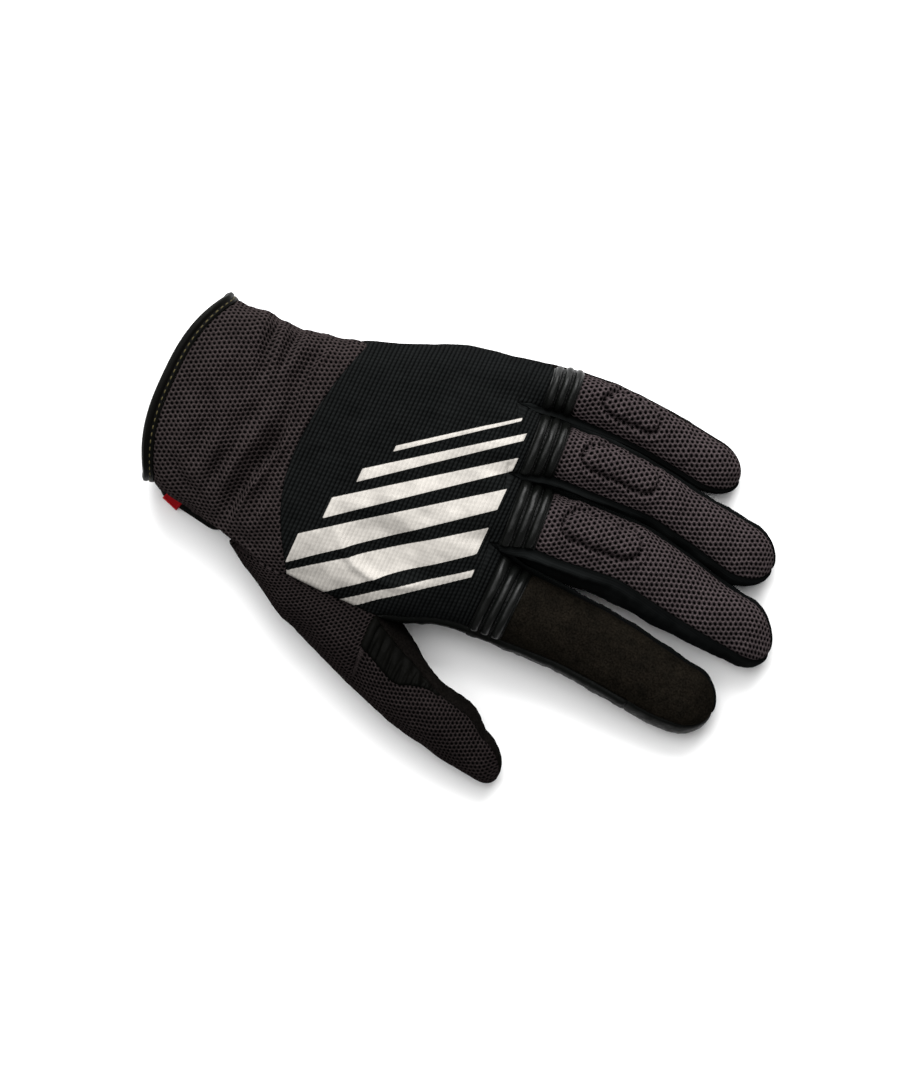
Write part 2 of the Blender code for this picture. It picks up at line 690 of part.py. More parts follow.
class Skin:
    """Every grid of the glove, sharing points where their edges meet."""

    def __init__(self):
        self.points = []
        self.place = {}
        self.grids = {}

    def add(self, name, points):
        """Stores a grid and remembers the number of each of its points."""
        index = np.empty(points.shape[:2], int)
        for r in range(points.shape[0]):
            for c in range(points.shape[1]):
                key = tuple(np.round(points[r, c] / MM, 3))
                if key not in self.place:
                    self.place[key] = len(self.points)
                    self.points.append(points[r, c])
                index[r, c] = self.place[key]
        self.grids[name] = index

    def finish(self):
        self.points = np.array(self.points)
        quads = [grid_faces(grid, range(grid.shape[0]), range(grid.shape[1])) for grid in self.grids.values()]
        self.faces = np.concatenate(quads)
        self.relax(RELAX_ROUNDS)
        self.points[:, 2] = np.maximum(self.points[:, 2] - FLATTENING, 0)
        self.normals = self.face_normals()

    def neighbours(self):
        edges = np.concatenate([self.faces[:, [i, (i + 1) % 4]] for i in range(4)])
        edges = edges[edges[:, 0] != edges[:, 1]]
        return np.unique(np.sort(edges, axis=1), axis=0)

    def relax(self, rounds):
        """Evens out the skin, most of all where thumb, hand and fingers meet."""
        edges = self.neighbours()
        count = np.bincount(edges.ravel(), minlength=len(self.points))[:, None]
        fixed = self.grids["hand_top"][0].tolist() + self.grids["hand_under"][0].tolist()
        fixed += self.grids["hand_side"][0].tolist() + self.grids["thumb_root"][0].tolist()
        for _ in range(rounds):
            total = np.zeros_like(self.points)
            np.add.at(total, edges[:, 0], self.points[edges[:, 1]])
            np.add.at(total, edges[:, 1], self.points[edges[:, 0]])
            moved = mix(self.points, total / count, 0.5)
            shift = moved - self.points
            near = self.nearness()[:, None]
            shift[fixed] = 0
            self.points = self.points + shift * near

    def nearness(self):
        """How strongly each point is evened out: most at the thumb's crotch, less at the joins."""
        near = np.full(len(self.points), 0.04)
        crotch = self.points[self.grids["thumb"][0, TOP_COUNT : SIDE_END + 1]].mean(0)
        near = np.maximum(near, 0.9 * self.around(crotch, CROTCH_BLEND))
        root = self.grids["thumb_root"]
        start = ROWS_BINDING + ROWS_CUFF
        joins = [*root[start:, -1], *root[start:, 0], *root[start - 3]]
        for point in self.points[joins]:
            near = np.maximum(near, 0.6 * self.around(point, JOIN_BLEND))
        return near

    def around(self, point, radius):
        """1 at a point, fading out at that radius."""
        return np.exp(-((np.linalg.norm(self.points - point, axis=1) / radius) ** 2))

    def face_normals(self):
        a, b, c, d = (self.points[self.faces[:, i]] for i in range(4))
        normal = np.cross(c - a, d - b)
        total = np.zeros_like(self.points)
        for i in range(4):
            np.add.at(total, self.faces[:, i], normal)
        for _ in range(NORMAL_ROUNDS + 1):
            length = np.linalg.norm(total, axis=1, keepdims=True)
            unit = total / np.maximum(length, 1e-12)
            total = unit.copy()
            edges = self.neighbours()
            np.add.at(total, edges[:, 0], unit[edges[:, 1]])
            np.add.at(total, edges[:, 1], unit[edges[:, 0]])
        return unit


def grid_faces(index, rows, columns):
    """Faces between the chosen rows and columns of a grid, seen from outside the glove."""
    rows, columns = list(rows), list(columns)
    chosen = index[np.ix_(rows, columns)]
    quads = np.stack([chosen[:-1, :-1], chosen[1:, :-1], chosen[1:, 1:], chosen[:-1, 1:]], -1)
    return quads.reshape(-1, 4)


def build_skin():
    skin = Skin()
    over, little, under, index_side = hand_angles()
    top_rows, side_rows, bottom_rows, index_rows = hand_rows()
    counts = [ROWS_BINDING, ROWS_CUFF, ROWS_WRIST, ROWS_PALM]
    fingers = len(FINGERS)

    x = filled(top_rows, counts)
    top = valleys(hand_section(x, over + 0 * x))
    x = filled(bottom_rows, counts)
    bottom = steer_webs(hand_section(x, under + 0 * x), x)
    x = filled(side_rows, counts)
    side = hand_section(x, little + 0 * x)
    side[:, 0], side[:, -1] = top[:, -1], bottom[:, 0]
    x = filled(index_rows, [ROWS_PALM])
    index = hand_section(x, index_side + 0 * x)
    index[:, 0], index[:, -1] = bottom[-ROWS_PALM - 1 :, -1], top[-ROWS_PALM - 1 :, 0]

    root_rows = [row[0] for row in top_rows]
    root = thumb_root(root_rows, bottom_rows[3][-1])
    wrist = ROWS_BINDING + ROWS_CUFF + ROWS_WRIST
    root[:, 0], root[:, -1] = bottom[: wrist + 1, -1], top[: wrist + 1, 0]
    crotch_web = web_line(top[wrist, 0], bottom[wrist, -1])
    index[0] = crotch_web[::-1]

    skin.add("hand_top", top)
    skin.add("hand_side", side)
    skin.add("hand_under", bottom)
    skin.add("index_side", index)
    skin.add("thumb_root", root)

    ring = np.concatenate([root[-1, ROOT_OVER_START :], crotch_web[1:], root[-1, 1 : ROOT_OVER_START + 1]])
    skin.add("thumb", thumb_grid(ring))

    webs = [index[-1][::-1]]
    for line in range(1, fingers):
        webs.append(web_line(top[-1, line * TOP_COUNT], bottom[-1, (fingers - line) * UNDER_COUNT]))
    webs.append(side[-1])
    for number in range(fingers):
        over_base = top[-1, number * TOP_COUNT : (number + 1) * TOP_COUNT + 1]
        first = (fingers - number - 1) * UNDER_COUNT
        under_base = bottom[-1, first : first + UNDER_COUNT + 1]
        base = np.concatenate([over_base, webs[number + 1][1:], under_base[1:], webs[number][::-1][1:]])
        skin.add(FINGERS[number].name, finger_grid(number, base))
    skin.finish()
    return skin


def thumb_grid(ring):
    """Points of the thumb from its base ring at the crotch to its tip."""
    end = thumb_start() + THUMB_LENGTH
    cap = end - THUMB_TIP
    columns = len(ring)
    gusset_end = np.maximum(crotch_x() + GUSSET_LENGTH, ring[:, 0] + CROTCH_BLEND / 2)
    rows = filled([ring[:, 0], gusset_end, np.full(columns, cap)], [ROWS_GUSSET, ROWS_THUMB])
    curve = np.sin(np.linspace(0, math.pi / 2, ROWS_TIP + 1))[1:]
    tip = np.array([np.full(columns, cap + (end - cap) * s) for s in curve])
    x = np.concatenate([rows, tip])
    angle = np.empty_like(x)
    for column in range(TOP_COUNT + 1):
        angle[:, column] = thumb_top_angle(x[:, column], column)
    angle[:, TOP_COUNT : SIDE_END + 1] = np.linspace(THUMB_INNER_TOP, THUMB_INNER_UNDER, SIDE_COUNT + 1)
    bottom = slice(SIDE_END, UNDER_END + 1)
    angle[:, bottom] = np.linspace(THUMB_INNER_UNDER, 360 - FINGER_CORNER, UNDER_COUNT + 1)
    last = np.linspace(360 - FINGER_CORNER, 360 + FINGER_CORNER, SIDE_COUNT + 1)
    angle[:, UNDER_END :] = last
    tube = thumb_section(x, angle)
    fade = 1 - ease(0, CROTCH_BLEND, x - ring[None, :, 0])
    points = tube + fade[..., None] * (ring - tube[0])[None]
    points[0] = ring
    return points


def strip(grid, rows, columns):
    """A patch of a grid: its name, and the rows and columns that it keeps."""
    return grid, list(rows), list(columns)


def every(first, last, step):
    """first, first + step and so on, always ending at last."""
    return [*range(first, last, step), last]


def solid(name, skin, patches, wall, relief=None, gap=SEAM_GAP, colour=MESH_COLOUR, roughness=0.8):
    """Makes one sewn piece: patches of the skin, drawn in from their seams, raised and given a wall."""
    faces = np.concatenate([grid_faces(skin.grids[g], rows, columns) for g, rows, columns in patches])
    used, local = np.unique(faces, return_inverse=True)
    local = local.reshape(faces.shape)
    points, normals = skin.points[used], skin.normals[used]
    rise = np.zeros(len(used)) if relief is None else relief(used)
    loops = [[v for i, v in enumerate(face) if v != face[i - 1]] for face in local.tolist()]
    loops = [loop for loop in loops if len(loop) > 2]
    shift, rim = seam_shift(points, normals, loops, gap / 2)
    outer = points + shift + normals * rise[:, None]
    inner = points + shift - normals * wall
    outer[:, 2] = np.maximum(outer[:, 2], 0)
    inner[points[:, 2] < FLAT, 2] = wall
    count = len(used)
    made = [tuple(loop) for loop in loops]
    made += [tuple(v + count for v in reversed(loop)) for loop in loops]
    for a, b in rim:
        if used[a] < used[b]:
            made += [(b, a, b + count), (a, a + count, b + count)]
        else:
            made += [(b, a, a + count), (b, a + count, b + count)]
    mesh = bpy.data.meshes.new(name)
    mesh.from_pydata(np.concatenate([outer, inner]).tolist(), [], made)
    mesh.validate()
    mesh.update()
    return place(name, mesh, colour, roughness)


def seam_shift(points, normals, loops, distance):
    """How far each point on the rim moves inwards, along the surface, and the rim's edges in order."""
    edges = {(loop[i - 1], v) for loop in loops for i, v in enumerate(loop)}
    rim = sorted(edge for edge in edges if edge[::-1] not in edges)
    inward = np.zeros((len(points), 2, 3))
    seen = np.zeros(len(points), int)
    for a, b in rim:
        for v in (a, b):
            side = np.cross(normals[v], points[b] - points[a])
            inward[v, min(seen[v], 1)] = side / max(np.linalg.norm(side), 1e-12)
            seen[v] += 1
    shift = np.zeros_like(points)
    for v in np.nonzero(seen)[0]:
        one, two = inward[v]
        shift[v] = (one + two) * distance / max(1 + float(one @ two), SHARPEST)
    return shift, rim


def place(name, mesh, colour, roughness):
    """Adds a mesh to the scene under its own material."""
    mesh.shade_smooth()
    mesh.set_sharp_from_angle(angle=math.radians(50))
    material = bpy.data.materials.new(name)
    material.use_nodes = True
    shader = material.node_tree.nodes["Principled BSDF"]
    shader.inputs["Base Color"].default_value = (*colour, 1)
    shader.inputs["Roughness"].default_value = roughness
    shader.inputs["Metallic"].default_value = 0
    mesh.materials.append(material)
    obj = bpy.data.objects.new(name, mesh)
    bpy.context.scene.collection.objects.link(obj)
    return obj


CUFF_ROW = ROWS_BINDING + ROWS_CUFF
WRIST_ROW = CUFF_ROW + ROWS_WRIST
PALM_ROW = WRIST_ROW + ROWS_PALM
NECK_ROW = ROWS_NECK
FLEX_ROW = ROWS_NECK + ROWS_FLEX
CAP_ROW = FLEX_ROW + ROWS_FINGER
TIP_ROW = CAP_ROW + ROWS_TIP
GUSSET_COLUMN = 2 * TOP_COUNT // 3
ROOT_UNDER = every(0, UNDER_COUNT, 4)
ROOT_OVER = every(UNDER_COUNT, ROOT_OVER_START, 3) + every(ROOT_OVER_START, ROOT_END, 2)[1:]


def cuff_relief(skin):
    """Folds pressed across the cuff."""

    def relief(used):
        points = skin.points[used]
        along = points[:, 0] / CUFF_LENGTH
        across = 2 * points[:, 1] / CUFF_WIDTH
        above = ease(*FOLDS_START, points[:, 2])
        rise = np.zeros(len(used))
        for at, side, depth, half, span in CUFF_FOLDS:
            near = np.exp(-(((along - at) / half) ** 2)) * np.exp(-(((across - side) / span) ** 4))
            rise -= FOLD_DEPTH * depth * near * above
        return rise

    return relief


def binding_relief(skin):
    """The binding's rolled edge: proud of the cuff in its middle."""
    grids = [skin.grids[g][1] for g in ("hand_top", "hand_side", "hand_under", "thumb_root")]
    middle = set(np.concatenate(grids).tolist())

    def relief(used):
        return np.array([BINDING_ROLL * (1.6 if v in middle else 1.0) for v in used])

    return relief


def dent_relief(skin):
    """The hollow on the back of the hand between thumb and index finger."""

    def relief(used):
        points = skin.points[used]
        centre = np.array([CUFF_LENGTH + DENT_PLACE[0] * HAND_LENGTH, DENT_PLACE[1] * HAND_WIDTH])
        far = np.linalg.norm((points[:, :2] - centre) / (np.array(DENT_SIZE) / 2), axis=1)
        return -DENT_DEPTH * np.exp(-(far**2))

    return relief


def rib_relief(skin, finger):
    """Padded ribs across a knuckle."""
    grid = skin.grids[finger.name]
    height = {}
    for row in range(NECK_ROW, FLEX_ROW + 1):
        place_in_rib = (row - NECK_ROW) * RIBS / ROWS_FLEX % 1
        for v in grid[row]:
            height[v] = RIB_HEIGHT * math.sqrt(max(1 - (2 * place_in_rib - 1) ** 2, 0))
    return lambda used: np.array([height.get(v, 0) for v in used])


def pad_relief(skin, number):
    """The long oval pad stitched under the mesh."""
    finger = FINGERS[number]
    if not finger.pad:
        return None
    along_at, across_at, length, width = finger.pad
    root = (slit_x(number) + slit_x(number + 1)) / 2

    def relief(used):
        points = skin.points[used]
        station = (points[:, 0] - root) / finger.length
        low = finger_line(number, points[:, 0])[0]
        high = finger_line(number + 1, points[:, 0])[0]
        across = (2 * points[:, 1] - low - high) / (high - low)
        straight = np.maximum(np.abs(station - along_at) / (length / 2) - 0.6, 0) / 0.4
        far = np.hypot(straight, (across - across_at) / (width / 2 * 1.25))
        return PAD_HEIGHT * (1 - ease(0.7, 1.25, far))

    return relief


def gather_relief(skin):
    """Elastic gathers of the thumb's gusset, raised on every other row."""
    grid = skin.grids["thumb"]
    height = {}
    for row in range(1, ROWS_GUSSET):
        for column in range(GUSSET_COLUMN + 1, TOP_COUNT):
            height[grid[row, column]] = GATHER_HEIGHT * (1 if row % 2 else -1)
    return lambda used: np.array([height.get(v, 0) for v in used])


def closure_tab():
    """The flat closure tab that lies under the cuff, its end showing on the thumb's side."""
    edge = float(hand_edge(0, THUMB_SIDE, -1, np.array(TAB_START + TAB_WIDTH / 2)))
    left = edge - TAB_PROUD
    outline = []
    corners = (
        (TAB_START + TAB_CORNER, left + TAB_CORNER, 180),
        (TAB_START + TAB_WIDTH - TAB_CORNER, left + TAB_CORNER, 270),
        (TAB_START + TAB_WIDTH - TAB_CORNER, left + TAB_LENGTH - TAB_CORNER, 0),
        (TAB_START + TAB_CORNER, left + TAB_LENGTH - TAB_CORNER, 90),
    )
    for x, y, start in corners:
        for turn in range(0, 91, 18):
            angle = math.radians(start + turn)
            across = x + TAB_CORNER * math.cos(angle)
            shear = TAB_SLANT * (across - TAB_START - TAB_WIDTH / 2)
            outline.append((across, y + TAB_CORNER * math.sin(angle) + shear))
    count = len(outline)
    points = [(x, y, 0) for x, y in outline] + [(x, y, TAB_THICKNESS) for x, y in outline]
    faces = [tuple(reversed(range(count))), tuple(range(count, 2 * count))]
    faces += [(i, (i + 1) % count, (i + 1) % count + count, i + count) for i in range(count)]
    mesh = bpy.data.meshes.new("closure_tab")
    mesh.from_pydata(points, [], faces)
    return place("closure_tab", mesh, LEATHER_COLOUR, 0.6)


def build_cuff(skin):
    all_top = every(0, TOP_COUNT * len(FINGERS), 3)
    all_under = every(0, UNDER_COUNT * len(FINGERS), 4)
    side = every(0, SIDE_COUNT, 2)
    root = ROOT_UNDER + ROOT_OVER[1:]
    columns = (("hand_top", all_top), ("hand_side", side), ("hand_under", all_under), ("thumb_root", root))
    edge = [strip(grid, range(0, ROWS_BINDING + 1), across) for grid, across in columns]
    cuff_rows = every(ROWS_BINDING, CUFF_ROW, 2)
    body = [strip(grid, cuff_rows, across) for grid, across in columns]
    rolled = binding_relief(skin)
    solid("cuff_binding", skin, edge, BINDING_WALL, rolled, colour=LEATHER_COLOUR, roughness=0.5)
    solid("cuff", skin, body, MESH_WALL, cuff_relief(skin), colour=MESH_COLOUR)


def build_hand(skin):
    all_top = every(0, TOP_COUNT * len(FINGERS), 3)
    all_under = every(0, UNDER_COUNT * len(FINGERS), 4)
    rows = every(CUFF_ROW, WRIST_ROW, 4) + every(WRIST_ROW, PALM_ROW, 4)[1:]
    half = SIDE_COUNT // 3
    back = [strip("hand_top", rows, all_top), strip("hand_side", rows, every(0, half, 2))]
    neck = every(0, NECK_ROW, 2)
    for finger in FINGERS:
        back.append(strip(finger.name, neck, every(0, TOP_COUNT, 3)))
    back.append(strip(FINGERS[-1].name, neck, every(TOP_COUNT, TOP_COUNT + half, 2)))
    solid("back_panel", skin, back, STRETCH_WALL, dent_relief(skin), colour=STRETCH_COLOUR)

    palm = [strip("hand_under", rows, all_under), strip("hand_side", rows, every(half, SIDE_COUNT, 2))]
    along = every(0, NECK_ROW, 2) + every(NECK_ROW, FLEX_ROW, 4)[1:] + every(FLEX_ROW, CAP_ROW, 4)[1:]
    along += every(CAP_ROW, TIP_ROW, 2)[1:]
    for finger in FINGERS:
        cut = along if finger.name != "index" else [r for r in along if r <= PATCH_ROW]
        palm.append(strip(finger.name, cut, every(SIDE_END, UNDER_END, 4)))
    palm.append(strip(FINGERS[-1].name, along[:3], every(TOP_COUNT + half, SIDE_END, 2)))
    palm.append(strip(FINGERS[-1].name, along[2:], every(TOP_COUNT, SIDE_END, 2)))
    solid("palm", skin, palm, LEATHER_WALL, colour=SUEDE_COLOUR)

    thumb_rows = every(CUFF_ROW, WRIST_ROW, 4)
    ahead = every(0, ROWS_GUSSET, 2) + every(ROWS_GUSSET, ROWS_GUSSET + ROWS_THUMB, 4)[1:]
    ahead += every(ROWS_GUSSET + ROWS_THUMB, ROWS_GUSSET + ROWS_THUMB + ROWS_TIP, 2)[1:]
    ring = RING_COUNT
    outer = every(UNDER_END, ring, 3)
    beyond = [r for r in ahead if r >= ROWS_GUSSET]
    back = [
        strip("thumb_root", thumb_rows, ROOT_OVER),
        strip("thumb", ahead, every(0, GUSSET_COLUMN, 2)),
        strip("thumb", beyond, every(GUSSET_COLUMN, TOP_COUNT, 2)),
        strip("thumb", ahead, outer),
    ]
    solid("thumb_back", skin, back, MESH_WALL, colour=MESH_COLOUR)
    gusset = [strip("thumb", every(0, ROWS_GUSSET, 1), every(GUSSET_COLUMN, TOP_COUNT, 2))]
    gathered = gather_relief(skin)
    solid("thumb_gusset", skin, gusset, LEATHER_WALL, gathered, colour=LEATHER_COLOUR, roughness=0.5)
    front = [
        strip("thumb_root", thumb_rows, ROOT_UNDER),
        strip("thumb", ahead, every(TOP_COUNT, SIDE_END, 2) + every(SIDE_END, UNDER_END, 4)[1:]),
    ]
    solid("thumb_front", skin, front, LEATHER_WALL, colour=SUEDE_COLOUR)


PATCH_ROW = FLEX_ROW + 3 * ROWS_FINGER // 4


def build_fingers(skin):
    ring = RING_COUNT
    along = every(NECK_ROW, FLEX_ROW, 4) + every(FLEX_ROW, CAP_ROW, 4)[1:] + every(CAP_ROW, TIP_ROW, 2)[1:]
    for number, finger in enumerate(FINGERS):
        over = every(0, TOP_COUNT, 2)
        flex = [strip(finger.name, every(NECK_ROW, FLEX_ROW, 1), every(0, TOP_COUNT, 3))]
        solid(
            "knuckle_flex_" + finger.name, skin, flex, LEATHER_WALL, rib_relief(skin, finger),
            colour=LEATHER_COLOUR, roughness=0.45,
        )
        beyond = [r for r in along if r >= FLEX_ROW]
        back = [strip(finger.name, beyond, over)]
        suede = finger.name == "index"
        solid(
            "finger_back_" + finger.name, skin, back, LEATHER_WALL if suede else MESH_WALL,
            pad_relief(skin, number), colour=finger.colour,
        )

    sides = every(0, NECK_ROW, 2) + every(NECK_ROW, FLEX_ROW, 4)[1:] + every(FLEX_ROW, CAP_ROW, 4)[1:]
    sides += every(CAP_ROW, TIP_ROW, 2)[1:]
    high = every(TOP_COUNT, SIDE_END, 2)
    low = every(UNDER_END, ring, 2)
    for a, b in zip(FINGERS, FINGERS[1:]):
        pair = [strip(a.name, sides, high), strip(b.name, sides, low)]
        solid("fourchette_" + a.name + "_" + b.name, skin, pair, STRETCH_WALL, colour=STRETCH_COLOUR)

    rows = every(0, ROWS_PALM, 4)
    rim = [strip("index_side", rows, every(0, SIDE_COUNT, 2))]
    rim.append(strip("index", [r for r in sides if r <= PATCH_ROW], low))
    solid("index_side_strip", skin, rim, LEATHER_WALL, colour=LEATHER_COLOUR, roughness=0.5)
    patch_rows = [r for r in sides if r >= PATCH_ROW]
    patch = [strip("index", patch_rows, every(SIDE_END, UNDER_END, 4) + low[1:])]
    solid("touch_tip_index", skin, patch, LEATHER_WALL, colour=LEATHER_COLOUR)


def centre_on_floor():
    """Moves the glove so that its box stands centred on the origin."""
    corners = np.array([v.co for obj in bpy.data.objects for v in obj.data.vertices])
    low, high = corners.min(0), corners.max(0)
    shift = -np.array([(low[0] + high[0]) / 2, (low[1] + high[1]) / 2, low[2]])
    for obj in bpy.data.objects:
        obj.location = shift


def main():
    for obj in list(bpy.data.objects):
        bpy.data.objects.remove(obj)
    skin = build_skin()
    build_cuff(skin)
    build_hand(skin)
    build_fingers(skin)
    closure_tab()
    centre_on_floor()


main()
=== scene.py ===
"""Left motorcycle glove, dressed: each sewn piece as fine cloth or leather over the glove's own skin.

The skin is worked out from the same sizes and tables as the solids. Every piece is a set of patches of it,
cut into cells of half a millimetre or so, raised by its own reliefs (holes of the mesh, ribs, folds, pads),
and closed by an inner layer at the wall's thickness. X runs from the cuff to the fingertips, Y from the
thumb to the little finger.
"""

import logging
import math
from dataclasses import dataclass
from enum import Enum
from functools import partial
from typing import Callable, Iterable, Sequence

import bpy
import numpy as np
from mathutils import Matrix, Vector, kdtree


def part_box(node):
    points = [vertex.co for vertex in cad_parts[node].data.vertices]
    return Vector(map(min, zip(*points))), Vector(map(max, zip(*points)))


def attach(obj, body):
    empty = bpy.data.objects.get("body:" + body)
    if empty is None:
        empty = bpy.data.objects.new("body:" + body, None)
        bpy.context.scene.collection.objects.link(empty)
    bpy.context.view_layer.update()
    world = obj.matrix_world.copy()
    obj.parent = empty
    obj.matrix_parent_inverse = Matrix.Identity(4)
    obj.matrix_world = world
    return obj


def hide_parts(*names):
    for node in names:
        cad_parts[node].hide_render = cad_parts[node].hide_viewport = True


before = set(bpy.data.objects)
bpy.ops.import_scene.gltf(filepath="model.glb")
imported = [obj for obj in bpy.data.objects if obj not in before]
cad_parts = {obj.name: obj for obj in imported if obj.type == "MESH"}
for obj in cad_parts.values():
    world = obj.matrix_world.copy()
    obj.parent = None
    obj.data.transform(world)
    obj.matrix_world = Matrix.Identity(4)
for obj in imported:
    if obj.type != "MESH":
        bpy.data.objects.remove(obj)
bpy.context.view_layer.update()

LOG = logging.getLogger("glove")
MM = 0.001
Array = np.ndarray
Table = Sequence[Sequence[float]]
Relief = Callable[["Cloth"], Array]


# Curves and blends


def shaped(table: Table, column: int, at: Array) -> Array:
    """Reads a smooth curve through one column of a table.

    Args:
        table: Rows that start with their station.
        column: Which column to read.
        at: Stations at which to read it.

    Returns:
        The curve's value at each station.
    """
    stations = np.array([row[0] for row in table], float)
    values = np.array([row[column] for row in table], float)
    slopes = np.gradient(values, stations)
    at = np.clip(np.asarray(at, float), stations[0], stations[-1])
    i = np.clip(np.searchsorted(stations, at) - 1, 0, len(stations) - 2)
    gap = stations[i + 1] - stations[i]
    t = (at - stations[i]) / gap
    start = (1 + 2 * t) * (1 - t) ** 2 * values[i] + t * (1 - t) ** 2 * gap * slopes[i]
    return start + t**2 * (3 - 2 * t) * values[i + 1] + t**2 * (t - 1) * gap * slopes[i + 1]


def ease(low: float | Array, high: float | Array, at: float | Array) -> Array:
    """Gives a smooth step.

    Args:
        low: Where it leaves 0.
        high: Where it reaches 1.
        at: Places at which to read it.

    Returns:
        0 before low, 1 after high, and smooth between them.
    """
    t = np.clip((np.asarray(at, float) - low) / (high - low), 0, 1)
    return t * t * (3 - 2 * t)


def mix(a: float | Array, b: float | Array, share: float | Array) -> Array:
    """Returns a at share 0, b at share 1, and a straight line between."""
    return a + (b - a) * share


def bump(at: Array, centre: float | Array, half: float | Array) -> Array:
    """Returns a bell of height 1 round centre, with that half width."""
    return np.exp(-(((at - centre) / half) ** 2))


def drift(points: Array, size: float, seed: int, octaves: int = 3) -> Array:
    """Makes smooth, uneven height for wrinkles, from sums of slanted waves.

    Args:
        points: Places in any number of dimensions, one row each.
        size: Length of the longest wave, in the points' unit.
        seed: Picks the waves, the same on every run.
        octaves: How many times the waves are halved.

    Returns:
        A height from about -1 to 1 for each point.
    """
    chance = np.random.default_rng(seed)
    total = np.zeros(len(points))
    for octave in range(octaves):
        for _ in range(5):
            way = chance.normal(size=points.shape[1])
            way *= 2 * math.pi * 2**octave / (size * np.linalg.norm(way))
            total += np.sin(points @ way + chance.uniform(0, 2 * math.pi)) / (3.2 * 1.9**octave)
    return total


def steps(values: Sequence[float], counts: Sequence[int]) -> Array:
    """Returns the values joined by straight runs, with that many steps in each."""
    run = [np.linspace(a, b, n, endpoint=False) for a, b, n in zip(values, values[1:], counts)]
    return np.concatenate([*run, [values[-1]]])


def filled(rows: Sequence[Array], counts: Sequence[int]) -> Array:
    """Fills in the rows between key rows.

    Args:
        rows: The key rows.
        counts: Steps from each key row to the next.

    Returns:
        All rows, the key rows among them.
    """
    made = []
    for a, b, n in zip(rows, rows[1:], counts):
        made += [mix(a, b, t) for t in np.linspace(0, 1, n, endpoint=False)]
    return np.array([*made, rows[-1]])


# Sizes of the glove's skin, as in its solids


@dataclass(frozen=True)
class Finger:
    """A finger's own sizes, in metres; pad and seam are in shares of its length and width."""

    name: str
    base: float
    length: float
    thickness: float
    tip: float
    tip_drift: float
    flex_start: float
    flex_length: float
    flex_tilt: float
    pad: tuple[float, ...]
    seam: tuple[float, float, float]


FINGERS = (
    Finger(
        "index", 0.0356, 0.1048, 0.024, 0.014, -0.0004, 0.0045, 0.0133, -0.0008,
        (), (-0.86, -0.80, -0.72),
    ),
    Finger(
        "middle", 0.0275, 0.1193, 0.025, 0.015, -0.0037, 0.0050, 0.0130, 0.0024,
        (0.345, 0.42, 0.26, 0.38), (-0.60, -0.48, -0.76),
    ),
    Finger(
        "ring", 0.0275, 0.1135, 0.023, 0.014, -0.0008, 0.0075, 0.0123, 0.0020,
        (0.385, 0.36, 0.27, 0.42), (-0.72, -0.74, -0.76),
    ),
    Finger(
        "little", 0.0170, 0.0925, 0.020, 0.013, -0.0010, 0.0095, 0.0115, 0.0022,
        (0.470, 0.30, 0.25, 0.46), (-0.80, -0.82, -0.86),
    ),
)

# Outline of the hand's two sides: station, 0 to 1 on the cuff and 1 to 2 on the hand, and bulge in shares
# of the hand's width.
THUMB_SIDE = (
    (0.00, 0.000), (0.17, 0.001), (0.51, -0.034), (0.85, -0.074), (1.00, -0.100), (1.12, -0.113),
    (1.30, -0.118), (1.53, -0.112), (1.63, -0.100), (1.72, -0.082), (1.79, -0.058), (1.84, -0.036),
    (1.92, -0.014), (2.00, 0.000),
)
LITTLE_SIDE = (
    (0.00, 0.000), (0.51, -0.060), (0.84, -0.081), (1.00, -0.086), (1.12, -0.068), (1.30, -0.050),
    (1.45, -0.028), (1.59, -0.004), (1.74, 0.000), (1.88, -0.002), (2.00, 0.000),
)
# Lines beside and between the fingers: station, drift and spread in shares of the hand's width.
FINGER_LINES = (
    (
        (0.00, 0.000, 0.0), (0.22, 0.006, 0.0), (0.37, 0.013, 0.0), (0.51, 0.006, 0.0), (0.66, -0.008, 0.0),
        (0.81, -0.018, 0.0), (0.88, -0.013, 0.0),
    ),
    (
        (0.00, 0.000, 0.000), (0.10, -0.019, 0.003), (0.23, -0.024, 0.001), (0.36, -0.020, 0.019),
        (0.44, -0.019, 0.026), (0.57, -0.030, 0.031), (0.70, -0.044, 0.049), (0.81, -0.053, 0.063),
        (0.91, -0.056, 0.068),
    ),
    (
        (0.00, 0.000, 0.000), (0.14, 0.020, 0.000), (0.26, 0.029, 0.000), (0.39, 0.039, 0.000),
        (0.47, 0.045, 0.000), (0.55, 0.034, 0.000), (0.63, 0.018, 0.000), (0.71, -0.002, 0.000),
        (0.78, -0.019, 0.002), (0.88, -0.024, 0.021),
    ),
    (
        (0.00, 0.000, 0.000), (0.09, 0.002, 0.000), (0.21, 0.007, 0.000), (0.34, 0.012, 0.000),
        (0.47, 0.010, 0.000), (0.60, -0.004, 0.000), (0.66, -0.014, 0.005), (0.72, -0.015, 0.016),
        (0.81, -0.019, 0.022), (0.88, -0.024, 0.031),
    ),
    (
        (0.00, 0.000, 0.0), (0.10, 0.019, 0.0), (0.23, 0.040, 0.0), (0.34, 0.048, 0.0), (0.45, 0.051, 0.0),
        (0.56, 0.048, 0.0), (0.66, 0.040, 0.0), (0.77, 0.033, 0.0), (0.86, 0.022, 0.0),
    ),
)
# Crown of the hand: station, share of the cuff's and of the hand's thickness, and of the cuff's lift.
HAND_CROWN = (
    (0.00, 1.00, 0.00, 1.0), (0.50, 1.00, 0.00, 1.0), (0.85, 0.90, 0.04, 0.9), (1.00, 0.60, 0.36, 0.4),
    (1.30, 0.10, 0.90, 0.0), (1.60, 0.00, 1.04, 0.0), (2.00, 0.00, 1.00, 0.0), (2.40, 0.00, 0.90, 0.0),
)
